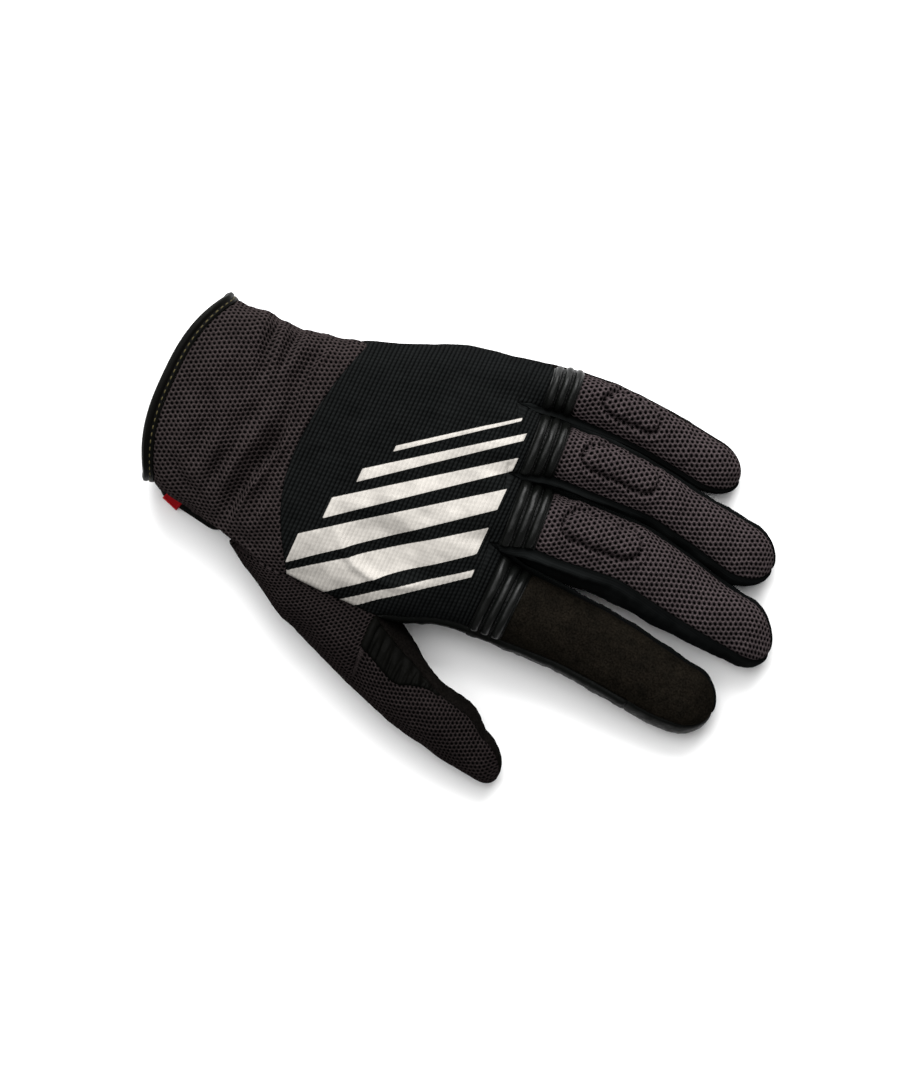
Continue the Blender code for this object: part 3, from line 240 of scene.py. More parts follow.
# Side view of a finger: station, share of the knuckle's extra height that is left, of its own thickness,
# and of its lift.
FINGER_CROWN = (
    (0.00, 1.00, 1.00, 0.00), (0.12, 0.82, 1.00, 0.01), (0.30, 0.44, 1.00, 0.08), (0.50, 0.12, 1.00, 0.11),
    (0.70, 0.00, 0.96, 0.05), (0.87, 0.00, 0.88, 0.00), (1.00, 0.00, 0.82, 0.00),
)
# Thumb: station, reach of its outer edge, width and crown.
THUMB_SHAPE = (
    (0.00, 0.023, 0.95, 0.96), (0.07, 0.204, 0.95, 0.98), (0.15, 0.316, 0.94, 1.02),
    (0.22, 0.406, 0.93, 1.04), (0.30, 0.482, 0.92, 1.05), (0.44, 0.658, 0.94, 1.04),
    (0.52, 0.741, 0.95, 1.02), (0.59, 0.810, 0.98, 1.00), (0.64, 0.849, 0.96, 0.98),
    (0.69, 0.881, 0.88, 0.95), (0.74, 0.913, 0.82, 0.92), (0.81, 0.959, 0.81, 0.86),
    (0.86, 0.983, 0.78, 0.78), (0.91, 1.000, 0.62, 0.68),
)


@dataclass(frozen=True)
class Counts:
    """Points across each stretch of the skin, rows along it, and where the stretches end."""

    top: int = 12
    side: int = 6
    bottom: int = 12
    binding: int = 2
    cuff: int = 24
    wrist: int = 24
    palm: int = 12
    neck: int = 4
    flex: int = 12
    finger: int = 32
    tip: int = 8
    gusset: int = 24
    thumb: int = 12
    # Columns of a finger and of the thumb.
    inner_end: int = top + side
    under_end: int = top + side + bottom
    ring: int = top + side + bottom + side
    gusset_edge: int = 2 * top // 3
    # Rows of the hand: the back panel's seam, the thumb's crotch, the slits.
    cuff_row: int = binding + cuff
    wrist_row: int = cuff_row + wrist
    palm_row: int = wrist_row + palm
    # Rows of a finger and of the thumb: the back's start, the index finger's patch, the tip, the end.
    flex_row: int = neck + flex
    patch_row: int = flex_row + 3 * finger // 4
    cap_row: int = flex_row + finger
    tip_row: int = cap_row + tip
    thumb_row: int = gusset + thumb + tip


N = Counts()


@dataclass(frozen=True)
class Form:
    """The glove's outline and its sections, in metres; X from the opening's middle."""

    cuff_length: float = 0.059
    cuff_width: float = 0.0785
    cuff_thickness: float = 0.036
    opening_bow: float = 0.0095
    binding_width: float = 0.005
    seam_bow: float = 0.020
    seam_rise: float = 0.0087
    hand_length: float = 0.084
    hand_thickness: float = 0.038
    index_reach: float = 0.0416
    valley: float = 0.0022
    valley_width: float = 0.010
    valley_length: float = 0.026
    thumb_length: float = 0.135
    thumb_spread: float = 0.0438
    thumb_width: float = 0.031
    thumb_thickness: float = 0.026
    thumb_tip: float = 0.012
    thumb_tip_drift: float = -0.0044
    thumb_setback: float = 0.0095
    thumb_crotch: float = 0.0645
    crotch_depth: float = 0.0085
    thumb_growth: tuple[float, float] = (-0.016, 0.034)
    gusset_length: float = 0.036
    gusset_start: float = 0.012
    gusset_widest: tuple[float, float] = (0.05, 0.45)
    finger_gap: float = 0.0007
    web_depth: float = 0.024
    outer_web: float = 0.6
    under_neck: float = 0.0025
    under_knuckle: float = 0.0045
    flattening: float = 0.0007
    cuff_lift: float = 0.00325
    slits: tuple[float, ...] = (1.042, 1.000, 0.935, 0.840, 0.815)
    round_top: float = 2.45
    round_bottom: float = 3.4
    round_finger: float = 2.25
    corner: float = 18.0
    under: float = 28.0
    finger_corner: float = 16.0
    finger_under: float = 30.0
    mesh_edge: tuple[float, float] = (82.0, 122.0)
    inner_top: float = 128.0
    inner_under: float = 215.0
    mid_height: float = 0.43
    tip_height: float = 0.42
    base_blend: float = 0.018
    crotch_blend: float = 0.020
    sweep_top: float = 0.016
    sweep_under: float = 0.014

    @property
    def width(self) -> float:
        """The hand's width across the knuckles."""
        return sum(finger.base for finger in FINGERS)

    @property
    def thumb_start(self) -> float:
        """Where the thumb leaves the cuff."""
        return self.cuff_length - self.thumb_setback

    @property
    def crotch(self) -> float:
        """Where the thumb's crotch is, on the back."""
        return self.thumb_start + self.thumb_crotch

    def slit(self, line: int) -> float:
        """Returns where a slit starts on the back."""
        return self.cuff_length + self.slits[line] * self.hand_length

    def root(self, number: int) -> float:
        """Returns where a finger starts, halfway between its two slits."""
        return (self.slit(number) + self.slit(number + 1)) / 2

    def knuckle(self, line: int) -> float:
        """Returns the y of a line between two fingers at the knuckles."""
        return -self.index_reach + sum(finger.base for finger in FINGERS[:line])

    def tip(self, number: int) -> float:
        """Returns the x of a fingertip."""
        return self.root(number) + FINGERS[number].length

    def web(self, line: int) -> float:
        """Returns where the web between two fingers ends on the palm."""
        return self.slit(line) + self.web_depth * (self.outer_web if line in (0, len(FINGERS)) else 1)

    def line(self, line: int, x: Array) -> tuple[Array, Array]:
        """Follows a line between two fingers.

        Args:
            line: Its number, from the index finger's outer side.
            x: Places along the glove.

        Returns:
            The y of its middle, and the gap between the fingers.
        """
        beside = [n for n in (line - 1, line) if 0 <= n < len(FINGERS)]
        reach = max(self.tip(n) for n in beside) - self.slit(line)
        station = (x - self.slit(line)) / reach
        y = self.knuckle(line) + shaped(FINGER_LINES[line], 1, station) * self.width
        inner = 0 < line < len(FINGERS)
        gap = self.finger_gap + shaped(FINGER_LINES[line], 2, station) * self.width if inner else 0 * y
        return y, gap

    def edge(self, line: int, table: Table, side: int, x: Array) -> Array:
        """Follows one side of the cuff and hand.

        Args:
            line: The finger line that the side runs into.
            table: Bulge of the side at each station.
            side: -1 for the thumb's side, 1 for the little finger's.
            x: Places along the glove.

        Returns:
            The y of the outline at each place.
        """
        end = self.slit(line)
        past, reach = x - self.cuff_length, end - self.cuff_length
        station = np.where(past < 0, x / self.cuff_length, 1 + past / reach)
        straight = mix(side * self.cuff_width / 2, self.knuckle(line), np.clip(x / end, 0, 1))
        before = straight + shaped(table, 1, station) * self.width
        return np.where(x < end, before, self.line(line, x)[0])

    def station(self, x: Array) -> Array:
        """Returns 0 to 1 along the cuff and 1 to 2 along the hand."""
        past = x - self.cuff_length
        return np.where(past < 0, x / self.cuff_length, 1 + past / self.hand_length)

    def section(
        self, x: Array, low: Array, high: Array, crown: Array, lift: Array, angle: Array,
        tops: float, under: float,
    ) -> Array:
        """Places points on a squarish ring.

        Args:
            x: Places along the glove.
            low: y of the ring's side towards the thumb.
            high: y of its other side.
            crown: Height of its top.
            lift: Height of its underside.
            angle: Degrees round it, 0 at the thumb's side and 90 on top.
            tops: How square its upper half is.
            under: How square its lower half is.

        Returns:
            The points.
        """
        c_top, s_top = around(angle, tops)
        c_under, s_under = around(angle, under)
        above = s_top >= 0
        middle = lift + (crown - lift) * self.mid_height
        y = (low + high) / 2 - (high - low) / 2 * np.where(above, c_top, c_under)
        z = middle + np.where(above, (crown - middle) * s_top, (middle - lift) * s_under)
        return np.stack([np.broadcast_to(x, y.shape), y, z], -1)

    def hand(self, x: Array, angle: Array) -> Array:
        """Places points on the cuff and hand.

        Args:
            x: Places along the glove.
            angle: Degrees round it, as in section.

        Returns:
            The points.
        """
        low = self.edge(0, THUMB_SIDE, -1, x)
        high = self.edge(len(FINGERS), LITTLE_SIDE, 1, x)
        at = self.station(x)
        crown = shaped(HAND_CROWN, 1, at) * self.cuff_thickness
        crown = crown + shaped(HAND_CROWN, 2, at) * self.hand_thickness
        lift = shaped(HAND_CROWN, 3, at) * self.cuff_lift
        return self.section(x, low, high, crown, lift, angle, self.round_top, self.round_bottom)

    def knuckle_crown(self, number: int) -> float:
        """Works out the height of the hand's back where a finger starts.

        Args:
            number: The finger's number.

        Returns:
            That height.
        """
        x = self.root(number)
        across = (self.knuckle(number) + self.knuckle(number + 1)) / 2
        low, high = self.knuckle(0), self.knuckle(len(FINGERS))
        rise = (1 - abs((2 * across - low - high) / (high - low)) ** self.round_top) ** (1 / self.round_top)
        crown = float(shaped(HAND_CROWN, 2, self.station(np.array(x)))) * self.hand_thickness
        return crown * mix(self.mid_height, 1, rise)

    def finger(self, number: int, x: Array, angle: Array) -> Array:
        """Places points on a finger.

        Args:
            number: The finger's number.
            x: Places along the glove.
            angle: Degrees round the finger, as in section.

        Returns:
            The points.
        """
        finger, end = FINGERS[number], self.tip(number)
        start = end - finger.tip
        low_line, low_gap = self.line(number, np.minimum(x, start))
        high_line, high_gap = self.line(number + 1, np.minimum(x, start))
        low, high = low_line + low_gap / 2, high_line - high_gap / 2
        at = (x - self.root(number)) / (end - self.root(number))
        crown = shaped(FINGER_CROWN, 2, at) * finger.thickness
        crown = crown + shaped(FINGER_CROWN, 1, at) * (self.knuckle_crown(number) - finger.thickness)
        lift = shaped(FINGER_CROWN, 3, at) * finger.thickness
        keep, along = tip_shrink(x, start, end)
        centre, half = (low + high) / 2 + finger.tip_drift * along**1.5, (high - low) / 2 * keep
        pole = lift + (crown - lift) * self.tip_height
        crown, lift = mix(pole, crown, keep), mix(pole, lift, keep)
        rounds = (self.round_finger, self.round_bottom)
        return self.section(x, centre - half, centre + half, crown, lift, angle, *rounds)

    def thumb(self, x: Array, angle: Array) -> Array:
        """Places points on the thumb.

        Args:
            x: Places along the glove.
            angle: Degrees round the thumb, as in section.

        Returns:
            The points.
        """
        start, end = self.thumb_start, self.thumb_start + self.thumb_length
        at = (x - start) / self.thumb_length
        root = float(self.edge(0, THUMB_SIDE, -1, np.array(start)))
        outer = root - shaped(THUMB_SHAPE, 1, at) * self.thumb_spread
        width = shaped(THUMB_SHAPE, 2, at) * self.thumb_width
        crown = shaped(THUMB_SHAPE, 3, at) * self.thumb_thickness
        keep, along = tip_shrink(x, end - self.thumb_tip, end)
        centre, half = outer + width / 2 + self.thumb_tip_drift * along**1.3, width / 2 * keep
        pole = crown * self.tip_height
        crown, lift = mix(pole, crown, keep), mix(pole, 0, keep)
        rounds = (self.round_finger, self.round_finger)
        return self.section(x, centre - half, centre + half, crown, lift, angle, *rounds)


def around(angle: Array, roundness: float) -> tuple[Array, Array]:
    """Returns cosine-like and sine-like places on a squarish ring."""
    c, s = np.cos(np.radians(angle)), np.sin(np.radians(angle))
    return np.sign(c) * np.abs(c) ** (2 / roundness), np.sign(s) * np.abs(s) ** (2 / roundness)


def tip_shrink(x: Array, start: float, end: float) -> tuple[Array, Array]:
    """Returns how much of its section a tip keeps at x, and the share of the tip's length behind it."""
    t = np.clip((x - start) / (end - start), 0, 1)
    return np.sqrt(np.clip(1 - t**2, 0, 1)), t


FORM = Form()


# Grids, faces and objects


def cells(grid: Array) -> Array:
    """Returns the four corners of each cell of a grid of point numbers."""
    return np.stack([grid[:-1, :-1], grid[1:, :-1], grid[1:, 1:], grid[:-1, 1:]], -1).reshape(-1, 4)


def sides(faces: Array) -> Array:
    """Returns the edges of four-cornered faces in their own order, without those of no length."""
    edges = np.concatenate([faces[:, [i, (i + 1) % 4]] for i in range(4)])
    return edges[edges[:, 0] != edges[:, 1]]


def both_ways(faces: Array) -> Array:
    """Returns each edge of the faces once, whichever way it runs."""
    return np.unique(np.sort(sides(faces), axis=1), axis=0)


def unit(vectors: Array, least: float = 1e-12) -> Array:
    """Returns the vectors at length 1; those shorter than least stay short."""
    return vectors / np.maximum(np.linalg.norm(vectors, axis=-1, keepdims=True), least)


def run_of(points: Array) -> Array:
    """Returns the length of a line of points from its start to each of them."""
    return np.concatenate([[0], np.cumsum(np.linalg.norm(np.diff(points, axis=0), axis=1))])


def new_piece(name: str, points: Array, faces: list, sharp: float = 65.0) -> bpy.types.Object:
    """Makes a smooth mesh object.

    Args:
        name: The object's name.
        points: Its points in metres.
        faces: The points of each face, by number.
        sharp: Angle in degrees from which an edge stays sharp.

    Returns:
        The new object, in the scene.
    """
    mesh = bpy.data.meshes.new(name)
    mesh.from_pydata(points.tolist(), [], faces)
    mesh.shade_smooth()
    mesh.set_sharp_from_angle(angle=math.radians(sharp))
    piece = bpy.data.objects.new(name, mesh)
    bpy.context.scene.collection.objects.link(piece)
    return piece


# The skin as grids of points


class Skin:
    """Every grid of the glove's skin, sharing points where their edges meet."""

    # From the middle of the opening to the middle of the part's box.
    PLACE = np.array([-0.12984908, 0.01032939, 0.0])
    RELAX_ROUNDS = 10
    NORMAL_ROUNDS = 6
    # How strongly points are evened out at the crotch, at the joins and elsewhere, and how far that reaches.
    CROTCH_EVEN, JOIN_EVEN, REST_EVEN = 0.9, 0.6, 0.04
    CROTCH_REACH, JOIN_REACH = 0.020, 0.008

    def __init__(self) -> None:
        """Builds the grids, evens them out and lays the palm side flat."""
        self.points: list[Array] | Array = []
        self.numbers: dict[tuple[float, ...], int] = {}
        self.grids: dict[str, Array] = {}
        self.build()
        self.points = np.array(self.points)
        self.faces = np.concatenate([cells(grid) for grid in self.grids.values()])
        self.edges = both_ways(self.faces)
        self.relax()
        self.points[:, 2] = np.maximum(self.points[:, 2] - FORM.flattening, 0)
        self.normals = self.smooth_normals()
        self.points = self.points + self.PLACE

    def add(self, name: str, points: Array) -> None:
        """Stores a grid, giving points that coincide one number.

        Args:
            name: The grid's name.
            points: Its points, row by row.
        """
        index = np.empty(points.shape[:2], int)
        for r, c in np.ndindex(index.shape):
            key = tuple(np.round(points[r, c] / MM, 3))
            if key not in self.numbers:
                self.numbers[key] = len(self.points)
                self.points.append(points[r, c])
            index[r, c] = self.numbers[key]
        self.grids[name] = index

    def build(self) -> None:
        """Works out the hand, the thumb and the fingers."""
        over, little, under, index_side = self.hand_angles()
        top_rows, side_rows, bottom_rows, index_rows = self.hand_rows(over, under)
        counts = [N.binding, N.cuff, N.wrist, N.palm]
        x = filled(top_rows, counts)
        top = self.valleys(FORM.hand(x, over + 0 * x))
        x = filled(bottom_rows, counts)
        bottom = self.steer_webs(FORM.hand(x, under + 0 * x), x)
        x = filled(side_rows, counts)
        side = FORM.hand(x, little + 0 * x)
        side[:, 0], side[:, -1] = top[:, -1], bottom[:, 0]
        x = filled(index_rows, [N.palm])
        index = FORM.hand(x, index_side + 0 * x)
        index[:, 0], index[:, -1] = bottom[-N.palm - 1 :, -1], top[-N.palm - 1 :, 0]
        root = self.thumb_root([row[0] for row in top_rows], bottom_rows[3][-1])
        wrist = N.wrist_row
        root[:, 0], root[:, -1] = bottom[: wrist + 1, -1], top[: wrist + 1, 0]
        crotch = self.web_line(top[wrist, 0], bottom[wrist, -1])
        index[0] = crotch[::-1]
        names = ("hand_top", "hand_side", "hand_under", "index_side", "thumb_root")
        for name, points in zip(names, (top, side, bottom, index, root)):
            self.add(name, points)
        turn = N.bottom + N.side
        ring = np.concatenate([root[-1, turn:], crotch[1:], root[-1, 1 : turn + 1]])
        self.add("thumb", self.thumb_grid(ring))
        fingers = len(FINGERS)
        webs = [index[-1][::-1]]
        for n in range(1, fingers):
            webs.append(self.web_line(top[-1, n * N.top], bottom[-1, (fingers - n) * N.bottom]))
        webs.append(side[-1])
        for number, finger in enumerate(FINGERS):
            over_base = top[-1, number * N.top : (number + 1) * N.top + 1]
            first = (fingers - number - 1) * N.bottom
            under_base = bottom[-1, first : first + N.bottom + 1]
            base = np.concatenate([over_base, webs[number + 1][1:], under_base[1:], webs[number][::-1][1:]])
            self.add(finger.name, self.finger_grid(number, base))

    def hand_angles(self) -> tuple[Array, Array, Array, Array]:
        """Works out the angles of the hand's columns.

        Returns:
            Those of the top, the little finger's side, the underside and the index finger's side.
        """
        low, high = FORM.knuckle(0), FORM.knuckle(len(FINGERS))
        lines = np.array([FORM.knuckle(n) for n in range(1, len(FINGERS))])
        share = (2 * lines - low - high) / (high - low)
        rounds = (FORM.round_top, FORM.round_bottom)
        tops, unders = (np.degrees(np.arccos(-np.sign(share) * np.abs(share) ** (r / 2))) for r in rounds)
        over = [FORM.corner, *tops, 180 - FORM.corner]
        under = [180 + FORM.under, *(360 - unders)[::-1], 360 - FORM.under]
        return (
            steps(over, [N.top] * len(FINGERS)),
            steps([180 - FORM.corner, 180 + FORM.under], [N.side]),
            steps(under, [N.bottom] * len(FINGERS)),
            steps([360 - FORM.under, 360 + FORM.corner], [N.side]),
        )

    def hand_rows(self, over: Array, under: Array) -> tuple[list[Array], ...]:
        """Works out the x of each key row of the hand.

        Args:
            over: Angles of the top's columns.
            under: Angles of the underside's columns.

        Returns:
            The rows of the top, the little finger's side, the underside and the index finger's side.
        """
        share = -around(over, FORM.round_top)[0]
        opening = FORM.opening_bow * np.abs(share) ** 2.6
        seam = FORM.cuff_length + FORM.seam_rise * np.clip(share, 0, 1) ** 2.2
        seam = seam + FORM.seam_bow * np.clip(-share, 0, 1) ** 2.2
        crotch = mix(FORM.crotch, FORM.crotch - FORM.sweep_top, (share + 1) / 2)
        fingers = len(FINGERS)
        slits = steps([FORM.slit(n) for n in range(fingers + 1)], [N.top] * fingers)
        top = [opening, opening + FORM.binding_width, seam, crotch, slits]
        ones, along = np.ones_like(under), np.linspace(0, 1, len(under))
        deep = FORM.crotch + FORM.crotch_depth
        webs = steps([FORM.web(n) for n in range(fingers, -1, -1)], [N.bottom] * fingers)
        edge, fork = FORM.opening_bow * ones, mix(deep - FORM.sweep_under, deep, along)
        bottom = [edge, edge + FORM.binding_width, FORM.cuff_length * ones, fork, webs]
        turn = ease(0, 1, np.linspace(0, 1, N.side + 1))
        side = [mix(t[-1], b[0], turn) for t, b in zip(top, bottom)]
        index_side = [mix(b[-1], t[0], turn) for t, b in zip(top[3:], bottom[3:])]
        return top, side, bottom, index_side

    def valleys(self, points: Array) -> Array:
        """Lowers the hand's back a little between the knuckles.

        Args:
            points: Its points.

        Returns:
            The same points, moved.
        """
        for line in range(1, len(FINGERS)):
            near = bump(points[..., 1], FORM.knuckle(line), FORM.valley_width / 2)
            along = ease(FORM.slit(line) - FORM.valley_length, FORM.slit(line), points[..., 0])
            points[..., 2] -= FORM.valley * near * along
        return points

    def steer_webs(self, points: Array, rows: Array) -> Array:
        """Leads the palm's columns to the ends of the webs.

        Args:
            points: The palm's points.
            rows: Their x.

        Returns:
            The same points, moved.
        """
        fingers = len(FINGERS)
        at = [i * N.bottom for i in range(fingers + 1)]
        wanted = np.array([float(FORM.line(n, np.array(FORM.web(n)))[0]) for n in range(fingers, -1, -1)])
        miss = wanted - points[-1, at, 1]
        miss[0] = miss[-1] = 0
        start = rows[N.wrist_row]
        points[..., 1] += ease(start, rows[-1], rows) * np.interp(np.arange(points.shape[1]), at, miss)
        return points

    def web_line(self, top: Array, under: Array) -> Array:
        """Returns the fold between two fingers, from the slit on the back down to the palm."""
        return mix(top, under, np.linspace(0, 1, N.side + 1)[:, None])

    def thumb_angle(self, x: Array, column: int) -> Array:
        """Works out how a column of the thumb's back runs beside the gusset.

        Args:
            x: Places along the glove.
            column: The column's number, from the outer side.

        Returns:
            The column's angle at each x.
        """
        first, last = (FORM.crotch + share * FORM.gusset_length for share in FORM.gusset_widest)
        opened = ease(FORM.crotch - FORM.gusset_start, first, x)
        closed = ease(last, FORM.crotch + FORM.gusset_length, x)
        edge = mix(FORM.mesh_edge[1], FORM.mesh_edge[0], opened * (1 - closed))
        mesh, inner = np.linspace(0, 1, N.gusset_edge + 1), np.linspace(0, 1, N.top // 3 + 1)
        share = np.concatenate([mesh, 1 + inner[1:]])[column]
        first = mix(FORM.finger_corner, edge, np.clip(share, 0, 1))
        return first + (FORM.inner_top - edge) * np.clip(share - 1, 0, 1)

    def thumb_root(self, x_top: Sequence[float], x_under: float) -> Array:
        """Builds the thumb's side of the glove, from the cuff to the crotch.

        Args:
            x_top: Key rows of the hand's back at the thumb.
            x_under: The crotch on the palm.

        Returns:
            Points from under the palm out and over to the back.
        """
        corner = FORM.finger_corner
        count = N.bottom + N.side + N.top + 1
        share = np.linspace(0, 1, count)
        outer = 1 - np.abs(2 * share - 1) ** 2
        seam = mix(FORM.cuff_length, x_top[2], ease(0.45, 1, share))
        seam = mix(seam, FORM.thumb_start, outer * (1 - ease(0.6, 1, share)))
        bow, fork = FORM.opening_bow, mix(x_under, x_top[3], ease(0, 1, share))
        rows = [mix(bow, x_top[0], share), mix(bow + FORM.binding_width, x_top[1], share), seam, fork]
        x = filled(rows, [N.binding, N.cuff, N.wrist])
        hand = FORM.hand(x, mix(360 - FORM.under, 360 + FORM.corner, share)[None, :] + 0 * x)
        angle = np.empty_like(x)
        angle[:, : N.bottom] = steps([FORM.inner_under, 360 - corner], [N.bottom])[:-1]
        angle[:, N.bottom : N.bottom + N.side] = steps([360 - corner, 360 + corner], [N.side])[:-1]
        for column in range(N.top + 1):
            at = N.bottom + N.side + column
            angle[:, at] = 360 + self.thumb_angle(x[:, at], column)
        thumb = FORM.thumb(x, angle)
        middle = N.bottom + N.side // 2
        edge = thumb[:, middle : middle + 1]
        for end, part in ((0, slice(0, middle)), (count - 1, slice(middle, count))):
            stretch = (hand[:, end] - edge[:, 0])[:, 1:] / (thumb[:, end] - edge[:, 0])[:, 1:]
            thumb[:, part, 1:] = edge[..., 1:] + (thumb[:, part] - edge)[..., 1:] * stretch[:, None]
        before, after = FORM.thumb_growth
        return mix(hand, thumb, ease(FORM.thumb_start + before, FORM.thumb_start + after, x)[..., None])

    def thumb_grid(self, ring: Array) -> Array:
        """Builds the thumb from its base to its tip.

        Args:
            ring: Points of its base ring.

        Returns:
            Its points, row by row.
        """
        end = FORM.thumb_start + FORM.thumb_length
        cap, columns = end - FORM.thumb_tip, len(ring)
        gusset_end = np.maximum(FORM.crotch + FORM.gusset_length, ring[:, 0] + FORM.crotch_blend / 2)
        x = filled([ring[:, 0], gusset_end, np.full(columns, cap)], [N.gusset, N.thumb])
        x = self.with_tip(x, cap, end)
        angle = np.empty_like(x)
        for column in range(N.top + 1):
            angle[:, column] = self.thumb_angle(x[:, column], column)
        corner, under, side, last = FORM.finger_corner, FORM.inner_under, N.inner_end, N.under_end
        angle[:, N.top : side + 1] = np.linspace(FORM.inner_top, under, N.side + 1)
        angle[:, side : last + 1] = np.linspace(under, 360 - corner, N.bottom + 1)
        angle[:, last:] = np.linspace(360 - corner, 360 + corner, N.side + 1)
        return self.joined(FORM.thumb(x, angle), ring, x, FORM.crotch_blend)

    def with_tip(self, rows: Array, cap: float, end: float) -> Array:
        """Returns the rows with those of the rounded tip added."""
        curve = np.sin(np.linspace(0, math.pi / 2, N.tip + 1))[1:]
        return np.concatenate([rows, [np.full(rows.shape[1], cap + (end - cap) * s) for s in curve]])

    def joined(self, tube: Array, base: Array, x: Array, reach: float) -> Array:
        """Leads a tube into its base ring.

        Args:
            tube: Points of the tube, row by row.
            base: Points of the ring.
            x: Places of the tube's points along the glove.
            reach: How far along the change runs.

        Returns:
            The tube's points, moved.
        """
        fade = 1 - ease(0, reach, x - base[None, :, 0])
        points = tube + fade[..., None] * (base - tube[0])[None]
        points[0] = base
        return points

    def finger_grid(self, number: int, base: Array) -> Array:
        """Builds a finger from its base to its tip.

        Args:
            number: The finger's number.
            base: Points of its base ring.

        Returns:
            Its points, row by row, and in each row the top, a side, the underside and the other side.
        """
        finger, end = FINGERS[number], FORM.tip(number)
        cap, columns = end - finger.tip, len(base)
        side, last, rise = N.inner_end, N.under_end, ease(0, 1, np.linspace(0, 1, N.side + 1))
        over, across = np.zeros(columns), np.zeros(columns)
        over[: N.top + 1], over[N.top : side + 1], over[last:] = 1, 1 - rise, rise
        across[: N.top + 1], across[last:] = np.linspace(1, 0, N.top + 1), 1
        start = FORM.root(number) + finger.flex_start + finger.flex_tilt * (across - 0.5)
        web = base[:, 0]
        first = mix(web + FORM.under_neck, start, over)
        second = mix(web + FORM.under_neck + FORM.under_knuckle, start + finger.flex_length, over)
        rows = filled([web, first, second, np.full(columns, cap)], [N.neck, N.flex, N.finger])
        x = self.with_tip(rows, cap, end)
        at = np.clip((x - FORM.root(number)) / (end - FORM.root(number)), 0, 1)
        seam = np.abs(np.interp(at, (0, 0.45, 1), finger.seam))
        seam = np.degrees(np.arccos(seam ** (FORM.round_finger / 2)))
        angle = np.empty_like(x)
        corner, under = FORM.finger_corner, FORM.finger_under
        angle[:, : N.top + 1] = mix(seam[:, : N.top + 1], 180 - corner, np.linspace(0, 1, N.top + 1))
        angle[:, N.top : side + 1] = np.linspace(180 - corner, 180 + under, N.side + 1)
        angle[:, side : last + 1] = np.linspace(180 + under, 360 - under, N.bottom + 1)
        angle[:, last:] = mix(360 - under, 360 + seam[:, last:], np.linspace(0, 1, N.side + 1))
        return self.joined(FORM.finger(number, x, angle), base, x, FORM.base_blend)

    def relax(self) -> None:
        """Evens out the skin, most of all where thumb, hand and fingers meet."""
        opening = ("hand_top", "hand_under", "hand_side", "thumb_root")
        fixed = np.concatenate([self.grids[name][0] for name in opening])
        edges = self.edges
        count = np.bincount(edges.ravel(), minlength=len(self.points))[:, None]
        for _ in range(self.RELAX_ROUNDS):
            total = np.zeros_like(self.points)
            np.add.at(total, edges[:, 0], self.points[edges[:, 1]])
            np.add.at(total, edges[:, 1], self.points[edges[:, 0]])
            shift = (total / count - self.points) / 2
            near = self.nearness()[:, None]
            shift[fixed] = 0
            self.points = self.points + shift * near

    def nearness(self) -> Array:
        """Works out how strongly each point is evened out.

        Returns:
            A share for each point: most at the thumb's crotch, less at the joins.
        """
        near = np.full(len(self.points), self.REST_EVEN)
        crotch = self.points[self.grids["thumb"][0, N.top : N.inner_end + 1]].mean(0)
        near = np.maximum(near, self.CROTCH_EVEN * self.closeness(crotch, self.CROTCH_REACH))
        root, start = self.grids["thumb_root"], N.cuff_row
        for point in self.points[[*root[start:, -1], *root[start:, 0], *root[start - 3]]]:
            near = np.maximum(near, self.JOIN_EVEN * self.closeness(point, self.JOIN_REACH))
        return near

    def closeness(self, point: Array, radius: float) -> Array:
        """Returns 1 at a point, fading out at that radius."""
        return bump(np.linalg.norm(self.points - point, axis=1), 0, radius)

    def smooth_normals(self) -> Array:
        """Works out the skin's normals, evened out over their neighbours.

        Returns:
            One unit normal for each point.
        """
        a, b, c, d = (self.points[self.faces[:, i]] for i in range(4))
        face = np.cross(c - a, d - b)
        total = np.zeros_like(self.points)
        for i in range(4):
            np.add.at(total, self.faces[:, i], face)
        for _ in range(self.NORMAL_ROUNDS + 1):
            even = unit(total)
            total = even.copy()
            np.add.at(total, self.edges[:, 0], even[self.edges[:, 1]])
            np.add.at(total, self.edges[:, 1], even[self.edges[:, 0]])
        return even

    def cloth_places(self, name: str) -> Array:
        """Lays a grid flat, as the cloth was cut.

        Args:
            name: Grid to lay flat.

        Returns:
            For each point, millimetres along the glove and round it, from the middle of its back.
        """
        points = self.points[self.grids[name]] / MM
        hops = np.linalg.norm(np.diff(points[..., 1:], axis=1), axis=2)
        turn = np.concatenate([np.zeros((len(points), 1)), np.cumsum(hops, axis=1)], axis=1)
        rows, along = len(points), points[..., 0]
        if name == "hand_top":
            turn -= turn[:, 2 * N.top, None]
        elif name in ("hand_side", "hand_under"):
            beside = "hand_top" if name == "hand_side" else "hand_side"
            turn += self.cloth_places(beside)[:, -1:, 1]
        elif name == "thumb_root":
            turn += self.cloth_places("hand_top")[:rows, :1, 1] - turn[:, -1:]
        elif name != "index_side":
            middle = 0 if name == "thumb" else N.top // 2
            turn -= turn[:, middle, None]
            if name == "thumb":
                turn += self.cloth_places("thumb_root")[-1, N.bottom + N.side, 1]
            line = points[:, middle]
            run = run_of(line[:, [0, 2]]) + line[0, 0]
            along = np.interp(along, np.maximum.accumulate(line[:, 0] + 1e-6 * np.arange(rows)), run)
        return np.stack([along, turn], -1)


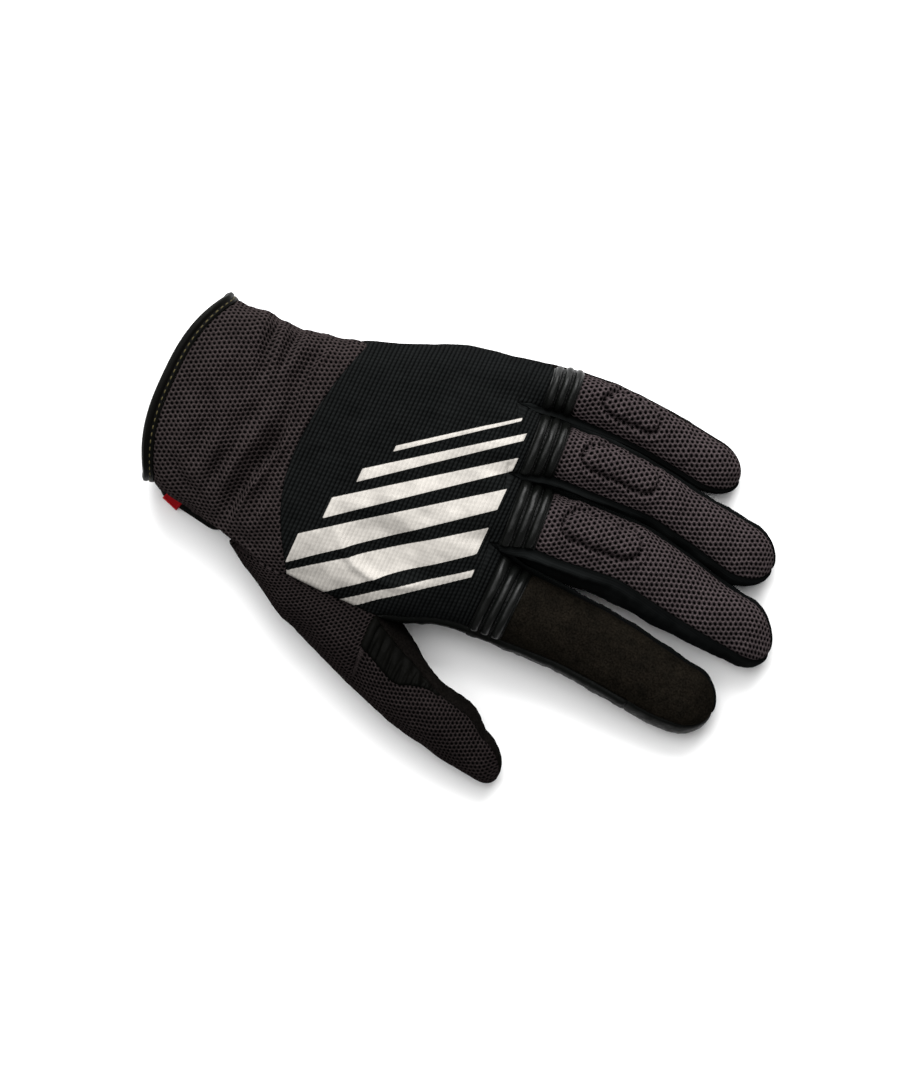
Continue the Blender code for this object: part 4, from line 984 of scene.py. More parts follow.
def densify(values: Array, count: int, closed: bool = False) -> Array:
    """Adds points between the rows of an array, on smooth curves through them.

    Args:
        values: An array whose first axis holds the rows.
        count: Steps between two rows.
        closed: Whether the last row is the first one again.

    Returns:
        The array with count steps for each one that there was.
    """
    first = values[-2] if closed else 2 * values[0] - values[1]
    last = values[1] if closed else 2 * values[-1] - values[-2]
    wide = np.concatenate([first[None], values, last[None]])
    a, b, c, d = wide[:-3], wide[1:-2], wide[2:-1], wide[3:]
    made = []
    for t in np.arange(count) / count:
        weight = (
            -0.5 * t + t**2 - 0.5 * t**3,
            1 - 2.5 * t**2 + 1.5 * t**3,
            0.5 * t + 2 * t**2 - 1.5 * t**3,
            -0.5 * t**2 + 0.5 * t**3,
        )
        made.append(sum(w * v for w, v in zip(weight, (a, b, c, d))))
    run = np.stack(made, axis=1).reshape(-1, *values.shape[1:])
    return np.concatenate([run, values[-1:]])


@dataclass(frozen=True)
class Patch:
    """A stretch of one grid, and how finely it is cut."""

    grid: str
    rows: tuple[int, int]
    columns: tuple[int, int]
    row_steps: int
    column_steps: int


class Cloth:
    """The outer layer of one sewn piece: patches of the skin joined into one fine net."""

    JOIN = 0.14 * MM
    GROUND_ROUNDS = 8

    def __init__(self, skin: Skin, patches: Iterable[Patch]) -> None:
        """Cuts the patches out of the skin and joins them.

        Args:
            skin: The glove's skin.
            patches: Stretches that meet along whole edges.
        """
        places, normals, flat, labels, quads, coarse, base = [], [], [], [], [], [], []
        self.index: list[Array] = []
        start = 0
        for number, patch in enumerate(patches):
            grid = skin.grids[patch.grid]
            ring = bool(np.all(grid[-3, 0] == grid[-3, -1]))
            both = np.concatenate([skin.points[grid], skin.normals[grid], skin.cloth_places(patch.grid)], -1)
            rows, columns = np.meshgrid(np.arange(grid.shape[0]), np.arange(grid.shape[1]), indexing="ij")
            both = np.concatenate([both, rows[..., None], columns[..., None]], -1)
            (r0, r1), (c0, c1) = patch.rows, patch.columns
            fine = densify(both, patch.row_steps)[r0 * patch.row_steps : r1 * patch.row_steps + 1]
            if ring:
                if c0 >= N.inner_end + N.bottom // 2:
                    fine[..., 7] += fine[:, :1, 7] - fine[:, -1:, 7]
                body = densify(fine[..., :6].swapaxes(0, 1), patch.column_steps, True)
                rest = densify(fine[..., 6:].swapaxes(0, 1), patch.column_steps)
                fine = np.concatenate([body, rest], -1).swapaxes(0, 1)
            else:
                fine = densify(fine.swapaxes(0, 1), patch.column_steps).swapaxes(0, 1)
            fine = fine[:, c0 * patch.column_steps : c1 * patch.column_steps + 1]
            index = start + np.arange(fine.shape[0] * fine.shape[1]).reshape(fine.shape[:2])
            self.index.append(index)
            start = index.max() + 1
            places.append(fine[..., :3].reshape(-1, 3))
            normals.append(fine[..., 3:6].reshape(-1, 3))
            flat.append(fine[..., 6:8].reshape(-1, 2))
            labels.append(np.column_stack([np.full(index.size, number), fine[..., 8:].reshape(-1, 2)]))
            quads.append(cells(index))
            knots = index[:: patch.row_steps, :: patch.column_steps]
            coarse.append(cells(knots))
            base.append(knots.ravel())
        self.places, self.normals = np.concatenate(places), np.concatenate(normals)
        self.flat, self.labels = np.concatenate(flat), np.concatenate(labels)
        self.faces, self.coarse = np.concatenate(quads), np.concatenate(coarse)
        self.knots = np.zeros(len(self.places), bool)
        self.knots[np.concatenate(base)] = True
        self.places[:, 2] = np.maximum(self.places[:, 2], 0)
        self.join()
        self.pairs = both_ways(self.faces)
        self.valence = np.maximum(np.bincount(self.pairs.ravel(), minlength=len(self.places)), 1)
        self.rim = self.rim_edges()
        self.away = self.rim_distance()
        self.soften(3)
        self.normals = unit(self.normals, 1e-9)
        self.height = np.zeros(len(self.places))
        self.marks: dict[str, Array] = {}

    @property
    def x(self) -> Array:
        """Millimetres along the glove in the part's own frame."""
        return self.places[:, 0] / MM

    @property
    def y(self) -> Array:
        """Millimetres across the glove in the part's own frame."""
        return self.places[:, 1] / MM

    @property
    def z(self) -> Array:
        """Millimetres above the floor."""
        return self.places[:, 2] / MM

    @property
    def u(self) -> Array:
        """Millimetres along the cloth as it was cut."""
        return self.flat[:, 0]

    @property
    def v(self) -> Array:
        """Millimetres round the glove on the cloth as it was cut."""
        return self.flat[:, 1]

    def of_patch(self, number: int) -> Array:
        """Returns which points came from that patch."""
        return self.labels[:, 0] == number

    def join(self) -> None:
        """Makes one point of those that coincide where patches meet or a tip closes."""
        key = np.round(self.places / (0.002 * MM)).astype(int)
        _, first, group = np.unique(key, axis=0, return_index=True, return_inverse=True)
        same = first[group.reshape(-1)]
        edges = np.sort(sides(same[self.faces]), axis=1)
        pairs, uses = np.unique(edges, axis=0, return_counts=True)
        rim = np.unique(pairs[uses == 1])
        tree = kdtree.KDTree(len(rim))
        for v in rim:
            tree.insert(self.places[v], int(v))
        tree.balance()
        patch = self.labels[:, 0]
        for v in rim:
            found = tree.find_range(self.places[v], self.JOIN)
            near = [i for _, i, _ in found if i < v and patch[i] != patch[v]]
            if near:
                same[v] = same[min(near)]
        same = same[same]
        self.knots[same[self.knots]] = True
        self.faces, self.coarse = same[self.faces], same[self.coarse]
        self.index = [same[index] for index in self.index]

    def rim_edges(self) -> Array:
        """Finds the edges that belong to one face.

        Returns:
            Their two ends, in the faces' own order.
        """
        edges = sides(self.faces)
        count = len(self.places)
        forward, back = edges[:, 0] * count + edges[:, 1], edges[:, 1] * count + edges[:, 0]
        return edges[~np.isin(forward, back)]

    def rim_distance(self) -> Array:
        """Measures how far the points are from the piece's seams.

        Returns:
            A distance in millimetres for each point.
        """
        points = np.concatenate([self.places[self.rim[:, 0]], self.places[self.rim].mean(1)])
        tree = kdtree.KDTree(len(points))
        for i, point in enumerate(points):
            tree.insert(point, i)
        tree.balance()
        return np.array([tree.find(point)[2] for point in self.places]) / MM

    def average(self, values: Array) -> Array:
        """Averages values over each point's neighbours.

        Args:
            values: A row of values for each point.

        Returns:
            For each point the mean of its neighbours' rows.
        """
        total = np.zeros_like(values)
        for one, other in ((0, 1), (1, 0)):
            for axis in range(values.shape[1]):
                beside = values[self.pairs[:, other], axis]
                total[:, axis] += np.bincount(self.pairs[:, one], beside, len(values))
        return total / self.valence[:, None]

    def soften(self, rounds: int) -> None:
        """Evens out places and normals where patches meet, and leaves the seams.

        Args:
            rounds: How often.
        """
        seam = np.zeros(len(self.places), bool)
        seam[self.rim.ravel()] = True
        for _ in range(rounds):
            moved = mix(self.places, self.average(self.places), 0.5)
            self.places = np.where(seam[:, None], self.places, moved)
        self.normals = mix(self.normals, self.average(self.normals), 0.5)

    def lift(self, *reliefs: Relief) -> "Cloth":
        """Adds reliefs to the height of the outer layer.

        Args:
            reliefs: Each gives heights in millimetres for a cloth.

        Returns:
            The cloth.
        """
        for relief in reliefs:
            self.height = self.height + relief(self)
        return self

    def surface(self) -> Array:
        """Raises the outer layer by its heights.

        Returns:
            Its points, never below the floor.
        """
        made = self.places + self.normals * (self.height * MM)[:, None]
        made[:, 2] = np.maximum(made[:, 2], 0)
        return made

    def line(self, patch: int, row: int) -> Array:
        """Follows one row of a patch on the raised surface.

        Args:
            patch: Number of the patch.
            row: Fine row to follow.

        Returns:
            Six numbers for each point of the line: its place and its normal.
        """
        index = self.index[patch][row]
        return np.concatenate([self.surface()[index], self.normals[index]], -1)

    def solid(self, name: str, wall: float, gap: float = 0.01, tuck: float = 0.0) -> bpy.types.Object:
        """Closes the cloth into a piece with its own thickness.

        Args:
            name: The piece's name.
            wall: Thickness in millimetres.
            gap: How far the piece is drawn in from its seams altogether, in millimetres.
            tuck: How far the inner layer comes up at the seams, in millimetres, for a rounded edge.

        Returns:
            The new object, with its cloth places as UV map and its relief and marks as attributes.
        """
        count = len(self.places)
        outer = self.surface()
        seam = np.unique(self.rim.ravel())
        pull = self.average(self.places)[seam] - self.places[seam]
        pull -= self.normals[seam] * np.sum(pull * self.normals[seam], axis=1, keepdims=True)
        pull = unit(pull, 1e-9)
        outer[seam] += pull * gap / 2 * MM
        outer[:, 2] = np.maximum(outer[:, 2], 0)
        ground = self.height[:, None]
        for _ in range(self.GROUND_ROUNDS):
            ground = mix(ground, self.average(ground), 0.7)
        tucked = tuck * np.clip(1 - self.away / max(tuck, 1e-6), 0, 1) ** 2
        depth = wall - tucked - np.minimum(ground[:, 0], 0)
        inner = self.places - self.normals * (depth * MM)[:, None]
        inner[seam] += pull * gap / 2 * MM
        low = outer[:, 2] < 0.3 * MM
        inner[low, 2] = np.maximum(inner[low, 2], wall * MM)
        faces = [list(dict.fromkeys(face)) for face in self.faces.tolist()]
        coarse = [list(dict.fromkeys(face)) for face in self.coarse.tolist()]
        faces = [face for face in faces if len(face) > 2]
        coarse = [[v + count for v in reversed(face)] for face in coarse if len(face) > 2]
        after: dict[int, list[int]] = {}
        for a, b in self.rim.tolist():
            after.setdefault(a, []).append(b)
        border = []
        for knot in [v for v in after if self.knots[v]]:
            for step in after[knot]:
                run = [knot, step]
                while not self.knots[run[-1]]:
                    run.append(after[run[-1]][0])
                border.append([*reversed(run), knot + count, run[-1] + count])
        used = np.unique([v for face in faces + coarse + border for v in face])
        renumber = np.zeros(2 * count, int)
        renumber[used] = np.arange(len(used))
        everything = [renumber[face].tolist() for face in faces + coarse + border]
        piece = new_piece(name, np.concatenate([outer, inner])[used], everything)
        mesh = piece.data
        loops = np.empty(len(mesh.loops), int)
        mesh.loops.foreach_get("vertex_index", loops)
        flat = np.concatenate([self.flat, self.flat])[used]
        layer = mesh.uv_layers.new(name="cloth")
        layer.data.foreach_set("uv", flat[loops].astype(np.float32).ravel())
        for label, values in (("relief", self.height), *self.marks.items()):
            attribute = mesh.attributes.new(label, "FLOAT", "POINT")
            attribute.data.foreach_set("value", np.concatenate([values, values])[used].astype(np.float32))
        return piece


# Reliefs: each gives the height that it adds to a cloth, in millimetres


def hex_distance(u: Array, v: Array, pitch: float) -> Array:
    """Measures how far places are from the nearest of the centres that lie as in a honeycomb.

    Args:
        u: Places along the cloth.
        v: Places across it.
        pitch: From centre to centre.

    Returns:
        The distances.
    """
    tall, near = pitch * math.sqrt(3), []
    for shift in (0, 0.5):
        across, along = (v / pitch + shift) % 1 * pitch, (u / tall + shift) % 1 * tall
        near.append(np.hypot(across - pitch / 2, along - tall / 2))
    return np.minimum(*near)


@dataclass(frozen=True)
class Holes:
    """Holes of an air mesh, as wide as across, at that pitch."""

    pitch: float = 2.1
    across: float = 1.15
    depth: float = 0.42

    def __call__(self, cloth: Cloth) -> Array:
        """Sinks the holes, with none on the very seams.

        Args:
            cloth: The piece's cloth.

        Returns:
            Heights in millimetres.
        """
        far = hex_distance(cloth.u, cloth.v, self.pitch)
        thread = ease(0.25 * self.across, 0.68 * self.across, far)
        return -self.depth * (1 - thread) * ease(0.3, 1.2, cloth.away)


@dataclass(frozen=True)
class Ribbing:
    """Ribs knitted across the back of the hand."""

    pitch: float = 1.6
    depth: float = 0.46
    stitch: float = 1.7
    dip: float = 0.09

    def __call__(self, cloth: Cloth) -> Array:
        """Rounds the ribs, with a shallow dip at each stitch.

        Args:
            cloth: The piece's cloth.

        Returns:
            Heights in millimetres.
        """
        rib = np.abs(np.sin(math.pi * cloth.u / self.pitch)) ** 0.7
        turn = cloth.v / self.stitch + 0.5 * np.floor(cloth.u / self.pitch)
        dip = 0.5 - 0.5 * np.cos(2 * math.pi * turn)
        return -self.depth * (1 - rib) - self.dip * dip


@dataclass(frozen=True)
class SeamRoll:
    """The way the cloth rolls down into its seams."""

    depth: float = 0.7
    reach: float = 1.5

    def __call__(self, cloth: Cloth) -> Array:
        """Returns the fall towards the seams."""
        return -self.depth * np.clip(1 - cloth.away / self.reach, 0, 1) ** 2


@dataclass(frozen=True)
class Wrinkles:
    """Uneven ground of worn cloth."""

    height: float = 0.25
    size: float = 22.0
    seed: int = 1
    stretch: tuple[float, float, float] = (1, 1, 1)

    def __call__(self, cloth: Cloth) -> Array:
        """Returns gentle rises and hollows that fade out at the seams."""
        ground = drift(cloth.places / MM * np.array(self.stretch), self.size, self.seed)
        return self.height * ground * ease(0, 5, cloth.away)


@dataclass(frozen=True)
class Fold:
    """A valley along a line of places seen from above, in millimetres; each side has its own width."""

    line: tuple[tuple[float, float], ...]
    depth: float
    left: float
    right: float
    lips: float = 0.35
    ends: float = 8.0
    floor: float = 6.0

    def __call__(self, cloth: Cloth) -> Array:
        """Sinks the valley between two raised lips, on the upper half of the glove.

        Args:
            cloth: The piece's cloth.

        Returns:
            Heights in millimetres.
        """
        line = np.array(self.line)
        here = np.column_stack([cloth.x, cloth.y])
        best, place, side = np.full(len(here), 1e9), np.zeros(len(here)), np.zeros(len(here))
        run = run_of(line)
        for i, (a, b) in enumerate(zip(line, line[1:])):
            way, off = b - a, here - a
            t = np.clip(off @ way / (way @ way), 0, 1)
            far = np.linalg.norm(off - t[:, None] * way, axis=1)
            place = np.where(far < best, run[i] + t * (run[i + 1] - run[i]), place)
            side = np.where(far < best, way[0] * off[:, 1] - way[1] * off[:, 0], side)
            best = np.minimum(best, far)
        ends = ease(0, self.ends, place) * ease(0, self.ends, run[-1] - place)
        across = best / np.where(side > 0, self.left, self.right)
        shape = -np.exp(-(across**2)) + self.lips * np.exp(-((across - 2.0) ** 2))
        return self.depth * shape * ends * ease(self.floor, self.floor + 6, cloth.z)


@dataclass(frozen=True)
class Dent:
    """A shallow oval hollow with a sharper rim on one side."""

    centre: tuple[float, float]
    size: tuple[float, float]
    depth: float
    turn: float = 0.0

    def __call__(self, cloth: Cloth) -> Array:
        """Sinks the hollow and raises a low ridge round its near side.

        Args:
            cloth: The piece's cloth.

        Returns:
            Heights in millimetres.
        """
        turn = math.radians(self.turn)
        c, s = math.cos(turn), math.sin(turn)
        dx, dy = cloth.x - self.centre[0], cloth.y - self.centre[1]
        a, b = (dx * c + dy * s) / (self.size[0] / 2), (dy * c - dx * s) / (self.size[1] / 2)
        far = np.hypot(a, b)
        ridge = bump(far, 1.0, 0.16) * ease(-0.1, 0.7, -b)
        return (0.55 * ridge - np.exp(-(far**4))) * self.depth * ease(6, 12, cloth.z)


# Finishes


def linear(colour: str) -> tuple[float, float, float, float]:
    """Returns an sRGB hex colour as linear red, green, blue and alpha."""
    parts = (int(colour[i : i + 2], 16) / 255 for i in (1, 3, 5))
    return (*(c / 12.92 if c <= 0.04045 else ((c + 0.055) / 1.055) ** 2.4 for c in parts), 1.0)


def add_node(tree: bpy.types.NodeTree, kind: str, inputs: dict | None = None, **settings) -> bpy.types.Node:
    """Adds a node.

    Args:
        tree: The tree that it goes into.
        kind: Its type, without the leading ShaderNode.
        inputs: A value, a socket or a node for each input, by name or number.
        settings: Its own settings.

    Returns:
        The new node.
    """
    node = tree.nodes.new("ShaderNode" + kind)
    for key, value in settings.items():
        setattr(node, key, value)
    for key, value in (inputs or {}).items():
        if isinstance(value, bpy.types.Node):
            value = value.outputs[0]
        if isinstance(value, bpy.types.NodeSocket):
            tree.links.new(value, node.inputs[key])
        else:
            node.inputs[key].default_value = value
    return node


@dataclass(frozen=True)
class Finish:
    """A material: its name, main colour, roughness and sheen."""

    name: str
    colour: str
    roughness: float = 0.8
    sheen: float = 0.0
    sheen_colour: str = "#ffffff"
    specular: float = 0.5
    ior: float = 1.5
    unevenness: float = 0.12
    sheen_roughness: float = 0.45
    patch_size: float = 9.0

    def material(self) -> bpy.types.Material:
        """Makes the material, on first use.

        Returns:
            The material, with all its nodes.
        """
        made = bpy.data.materials.get(self.name)
        if made:
            return made
        made = bpy.data.materials.new(self.name)
        made.use_nodes = True
        tree = made.node_tree
        tree.nodes.clear()
        shader = add_node(tree, "BsdfPrincipled", {
            "Roughness": self.roughness, "Sheen Weight": self.sheen, "Sheen Roughness": self.sheen_roughness,
            "Sheen Tint": linear(self.sheen_colour), "Specular IOR Level": self.specular, "IOR": self.ior,
        })
        add_node(tree, "OutputMaterial", {"Surface": shader})
        self.dress(tree, shader)
        made.diffuse_color = linear(self.colour)
        return made

    def dress(self, tree: bpy.types.NodeTree, shader: bpy.types.Node) -> None:
        """Paints the surface: uneven colour here, more in the finishes made from this one."""
        self.paint(tree, shader, linear(self.colour)[:3], None, 0)

    def millimetres(self, tree: bpy.types.NodeTree) -> bpy.types.Node:
        """Returns places on the piece in millimetres."""
        places = add_node(tree, "TexCoord").outputs["Object"]
        return add_node(tree, "VectorMath", {0: places, 1: (1 / MM,) * 3}, operation="MULTIPLY")

    def cloth(self, tree: bpy.types.NodeTree) -> bpy.types.Node:
        """Returns places on the cloth as it was cut, in millimetres."""
        return add_node(tree, "UVMap", uv_map="cloth")

    def paint(
        self, tree: bpy.types.NodeTree, shader: bpy.types.Node, colour: object, height: object, depth: float
    ) -> None:
        """Sets the colour, made a little uneven, and the bumps.

        Args:
            tree: The material's nodes.
            shader: Its shader.
            colour: Red, green and blue, or a socket.
            height: A socket from 0 to 1, or nothing.
            depth: What height 1 stands for, in millimetres.
        """
        node = partial(add_node, tree)
        places, less, more = self.millimetres(tree), 1 - self.unevenness, 1 + self.unevenness
        patches = node("TexNoise", {"Vector": places, "Scale": 1 / self.patch_size, "Detail": 3.0})
        share = node("MapRange", {0: patches, 1: 0.3, 2: 0.7, 3: less, 4: more})
        mixed = node("VectorMath", {0: colour, 1: share}, operation="MULTIPLY")
        tree.links.new(mixed.outputs[0], shader.inputs["Base Color"])
        if height is not None:
            bumps = node("Bump", {"Height": height, "Distance": depth * MM, "Strength": 1.0})
            tree.links.new(bumps.outputs[0], shader.inputs["Normal"])


@dataclass(frozen=True)
class AirMesh(Finish):
    """Polyester air mesh, warp knitted: dull threads, with a painted highlight where they cross, round open
    holes painted almost black for the shade inside them.
    """

    # Painted shade: the colour drawn in the holes, standing for the shade inside them.
    hollow: str = "#020202"
    pitch: float = 2.1  # hole to hole, as measured
    hole: float = 1.1

    def dress(self, tree: bpy.types.NodeTree, shader: bpy.types.Node) -> None:
        """Paints shade into the holes, paints a highlight on the threads where they cross farthest from the
        holes, and roughens the threads.

        Args:
            tree: The material's nodes.
            shader: Its shader.
        """
        node = partial(add_node, tree)
        tall = self.pitch * math.sqrt(3)
        size, cells_a_mm = (tall, self.pitch, 0), (1 / tall, 1 / self.pitch, 0)
        grid = node("VectorMath", {0: self.cloth(tree), 1: cells_a_mm}, operation="MULTIPLY")
        near = []
        for shift in (0.0, 0.5):
            moved = node("VectorMath", {0: grid, 1: (shift, shift, 0)}, operation="ADD")
            cell = node("VectorMath", {0: moved}, operation="FRACTION")
            middle = node("VectorMath", {0: cell, 1: (0.5, 0.5, 0)}, operation="SUBTRACT")
            sized = node("VectorMath", {0: middle, 1: size}, operation="MULTIPLY")
            near.append(node("VectorMath", {0: sized}, operation="LENGTH").outputs["Value"])
        distance = node("Math", {0: near[0], 1: near[1]}, operation="MINIMUM")
        rim = {0: distance, 1: 0.38 * self.hole, 2: 0.66 * self.hole}
        thread = node("MapRange", rim, interpolation_type="SMOOTHSTEP")
        knot = node("MapRange", {0: distance, 1: 0.40 * self.hole, 2: 0.56 * self.pitch})
        # Filament of 0.1 mm is too fine to show, so the knots are drawn 0.5 mm wide.
        knots = node("TexNoise", {"Vector": self.millimetres(tree), "Scale": 1 / 0.5, "Detail": 2.0})
        light = node("MapRange", {0: knots, 1: 0.35, 2: 0.65, 3: 0.62, 4: 1.38})
        # Painted highlight: the threads are lighter the farther they are from the holes, up to 1.6 times
        # their colour where they cross.
        crown = node("MapRange", {0: knot, 3: 0.55, 4: 1.60})
        both = node("Math", {0: light, 1: crown}, operation="MULTIPLY")
        lit = node("VectorMath", {0: linear(self.colour)[:3], 1: both}, operation="MULTIPLY")
        # Mixes the painted shade of the holes with the threads.
        colour = node("Mix", {0: thread, 6: linear(self.hollow), 7: lit}, data_type="RGBA")
        height = node("Math", {0: knots, 1: 0.30, 2: knot}, operation="MULTIPLY_ADD")
        self.paint(tree, shader, colour.outputs[2], height, 0.5)


@dataclass(frozen=True)
class RibbedStretch(Finish):
    """Elastane ottoman rib, knitted: dull ribs with painted shade in the grooves and a painted highlight on
    the crests, screen printed in an off-white paint.
    """

    printed: str = "#a9a59f"
    pitch: float = 1.6
    stitch: float = 1.7

    def dress(self, tree: bpy.types.NodeTree, shader: bpy.types.Node) -> None:
        """Draws the ribs and their stitches, painting shade in the grooves and a highlight on the crests, and
        the print, which is thin in the grooves between the ribs.

        Args:
            tree: The material's nodes.
            shader: Its shader.
        """
        node = partial(add_node, tree)
        cut = node("SeparateXYZ", {0: self.cloth(tree)})
        turn = node("Math", {0: cut.outputs["X"], 1: math.pi / self.pitch}, operation="MULTIPLY")
        wave = node("Math", {0: turn}, operation="SINE")
        size = node("Math", {0: wave}, operation="ABSOLUTE")
        rib = node("Math", {0: size, 1: 0.6}, operation="POWER")
        across = node("Math", {0: cut.outputs["Y"], 1: 2 * math.pi / self.stitch}, operation="MULTIPLY")
        loops = node("Math", {0: across}, operation="SINE")
        dip = node("MapRange", {0: loops, 1: -1.0, 2: 1.0, 3: 0.62, 4: 1.0})
        ground = node("Math", {0: rib, 1: dip}, operation="MULTIPLY")
        fuzz = node("TexNoise", {"Vector": self.millimetres(tree), "Scale": 1 / 0.45, "Detail": 2.0})
        edge = node("Attribute", attribute_name="print_distance")
        mask = node("MapRange", {0: edge.outputs["Fac"], 1: -0.10, 2: 0.10, 3: 1.0, 4: 0.0})
        rough = node("Math", {0: fuzz, 1: 0.25, 2: ground}, operation="MULTIPLY_ADD")
        bare = node("MapRange", {0: mask, 3: 1.0, 4: 0.22})
        height = node("Math", {0: rough, 1: bare}, operation="MULTIPLY")
        # Painted shade and highlight: the cloth is darkened to a twentieth in the grooves and stitch dips,
        # and lightened up to 1.75 times on the rib crests.
        rib_shade_and_highlight = node("MapRange", {0: ground, 1: 0.0, 2: 1.0, 3: 0.05, 4: 1.75})
        cloth = node("VectorMath", {0: linear(self.colour)[:3], 1: rib_shade_and_highlight}, operation="MULTIPLY")
        thin = node("MapRange", {0: ground, 1: 0.0, 2: 0.5, 3: 0.93, 4: 1.0})
        paint = node("VectorMath", {0: linear(self.printed)[:3], 1: thin}, operation="MULTIPLY")
        colour = node("Mix", {0: mask, 6: cloth, 7: paint}, data_type="RGBA")
        gloss = node("MapRange", {0: mask, 3: self.roughness, 4: 0.5})
        tree.links.new(gloss.outputs[0], shader.inputs["Roughness"])
        self.paint(tree, shader, colour.outputs[2], height, 0.32)


@dataclass(frozen=True)
class Leather(Finish):
    """Goat leather, tanned and pigmented: fine pebbled grain whose tops catch grey light."""

    grain: float = 0.8  # real grain of 0.4 mm, drawn twice as coarse so that it shows
    depth: float = 0.07

    def dress(self, tree: bpy.types.NodeTree, shader: bpy.types.Node) -> None:
        """Sets the pebbled grain, and a slight change of gloss over it.

        Args:
            tree: The material's nodes.
            shader: Its shader.
        """
        node = partial(add_node, tree)
        places = self.millimetres(tree)
        pebble = node("TexVoronoi", {"Vector": places, "Scale": 1 / self.grain}, feature="SMOOTH_F1")
        crease = node("TexNoise", {"Vector": places, "Scale": 1 / 2.5, "Detail": 4.0})
        height = node("Math", {0: crease, 1: 1.4, 2: pebble.outputs["Distance"]}, operation="MULTIPLY_ADD")
        rough = {0: crease, 1: 0.3, 2: 0.7, 3: self.roughness - 0.06, 4: self.roughness + 0.08}
        gloss = node("MapRange", rough)
        tree.links.new(gloss.outputs[0], shader.inputs["Roughness"])
        self.paint(tree, shader, linear(self.colour)[:3], height, self.depth)


@dataclass(frozen=True)
class Suede(Finish):
    """Microfibre suede, brushed: a short nap in lighter and darker patches, which shines at its edges."""

    nap: str = "#15120e"

    def dress(self, tree: bpy.types.NodeTree, shader: bpy.types.Node) -> None:
        """Mixes the two ways the nap lies, over fine fuzz.

        Args:
            tree: The material's nodes.
            shader: Its shader.
        """
        node = partial(add_node, tree)
        places = self.millimetres(tree)
        lie = node("TexNoise", {"Vector": places, "Scale": 1 / 6, "Detail": 5.0, "Roughness": 0.7})
        share = node("MapRange", {0: lie, 1: 0.30, 2: 0.80})
        # Fibres of 0.02 mm are far too fine to show, so the fuzz is drawn 0.7 mm wide.
        fuzz = node("TexNoise", {"Vector": places, "Scale": 1 / 0.7, "Detail": 3.0})
        speck = node("MapRange", {0: fuzz, 1: 0.35, 2: 0.65, 3: 0.55, 4: 1.5})
        mixed = node("Mix", {0: share, 6: linear(self.colour), 7: linear(self.nap)}, data_type="RGBA")
        colour = node("VectorMath", {0: mixed.outputs[2], 1: speck}, operation="MULTIPLY")
        self.paint(tree, shader, colour.outputs[0], fuzz, 0.22)


@dataclass(frozen=True)
class Knit(Finish):
    """Fine stretch jersey, knitted: smooth and dull, with a painted highlight that makes it greyer on its
    raised rolls.
    """

    wale: float = 0.9  # real wales of 0.45 mm, drawn twice as coarse

    def dress(self, tree: bpy.types.NodeTree, shader: bpy.types.Node) -> None:
        """Draws the wales along the piece and paints a highlight on its raised rolls.

        Args:
            tree: The material's nodes.
            shader: Its shader.
        """
        node = partial(add_node, tree)
        cut = node("SeparateXYZ", {0: self.cloth(tree)})
        turn = node("Math", {0: cut.outputs["Y"], 1: 2 * math.pi / self.wale}, operation="MULTIPLY")
        wave = node("Math", {0: turn}, operation="SINE")
        fuzz = node("TexNoise", {"Vector": self.millimetres(tree), "Scale": 1 / 0.6, "Detail": 2.0})
        height = node("Math", {0: fuzz, 1: 2.0, 2: wave}, operation="MULTIPLY_ADD")
        # Painted highlight: the higher the relief, the lighter the jersey, up to 3.4 times its colour.
        relief = node("Attribute", attribute_name="relief")
        roll_highlight = node("MapRange", {0: relief.outputs["Fac"], 1: 0.2, 2: 1.5, 3: 1.0, 4: 3.4})
        colour = node("VectorMath", {0: linear(self.colour)[:3], 1: roll_highlight}, operation="MULTIPLY")
        self.paint(tree, shader, colour.outputs[0], height, 0.03)


class Cloths(Enum):
    """The finishes of the glove."""

    # Painted shade: the cuff's and the thumb's mesh colours are darker copies of the fingers' mesh colour,
    # standing for the weaker light that falls on them.
    CUFF_MESH_SHADED = AirMesh("air_mesh_knitted", "#282323", 0.9, 0.01, "#8a8080", 0.0, pitch=1.95, hole=0.98)
    FINGER_MESH = AirMesh("air_mesh_knitted_fingers", "#332d2e", 0.9, 0.01, "#8a8080", 0.0)
    # Painted shade: the thumb's mesh is a darker copy of the fingers' mesh.
    THUMB_MESH_SHADED = AirMesh("air_mesh_knitted_thumb_shaded", "#1c1818", 0.9, 0.01, "#8a8080", 0.0, pitch=1.8, hole=0.92)
    RIBBED = RibbedStretch("ribbed_stretch_printed", "#0e0f0f", 0.9, 0.01, "#8a8a90", 0.0)
    FLEX = Leather("goat_leather_flex", "#070807", 0.34, specular=0.15, grain=0.8, depth=0.05)
    LEATHER = Leather("goat_leather_smooth", "#060706", 0.46, specular=0.05)
    GUSSET = Leather("goat_leather_gathered", "#060605", 0.55, specular=0.015)
    BINDING = Leather("goat_leather_binding", "#070706", 0.42, specular=0.03, grain=0.9, depth=0.06)
    SUEDE = Suede("microfibre_suede", "#0a0907", 0.95, 0.01, "#a09484", 0.0)
    PALM = Suede("microfibre_suede_palm", "#090807", 0.95, 0.01, "#8c8c8c", 0.0, nap="#0e0c0b")
    JERSEY = Knit("stretch_jersey_knitted", "#090a0a", 0.60, 0.01, "#90959a", 0.0)
    THREAD = Knit("polyester_thread_twisted", "#080909", 0.6, specular=0.20)
    OLIVE_THREAD = Knit("polyester_thread_olive", "#443e26", 0.6, specular=0.1)
    TAG = Finish("silicone_patch_moulded", "#a30d16", 0.5, specular=0.06, unevenness=0.05)


# Putting pieces into the scene


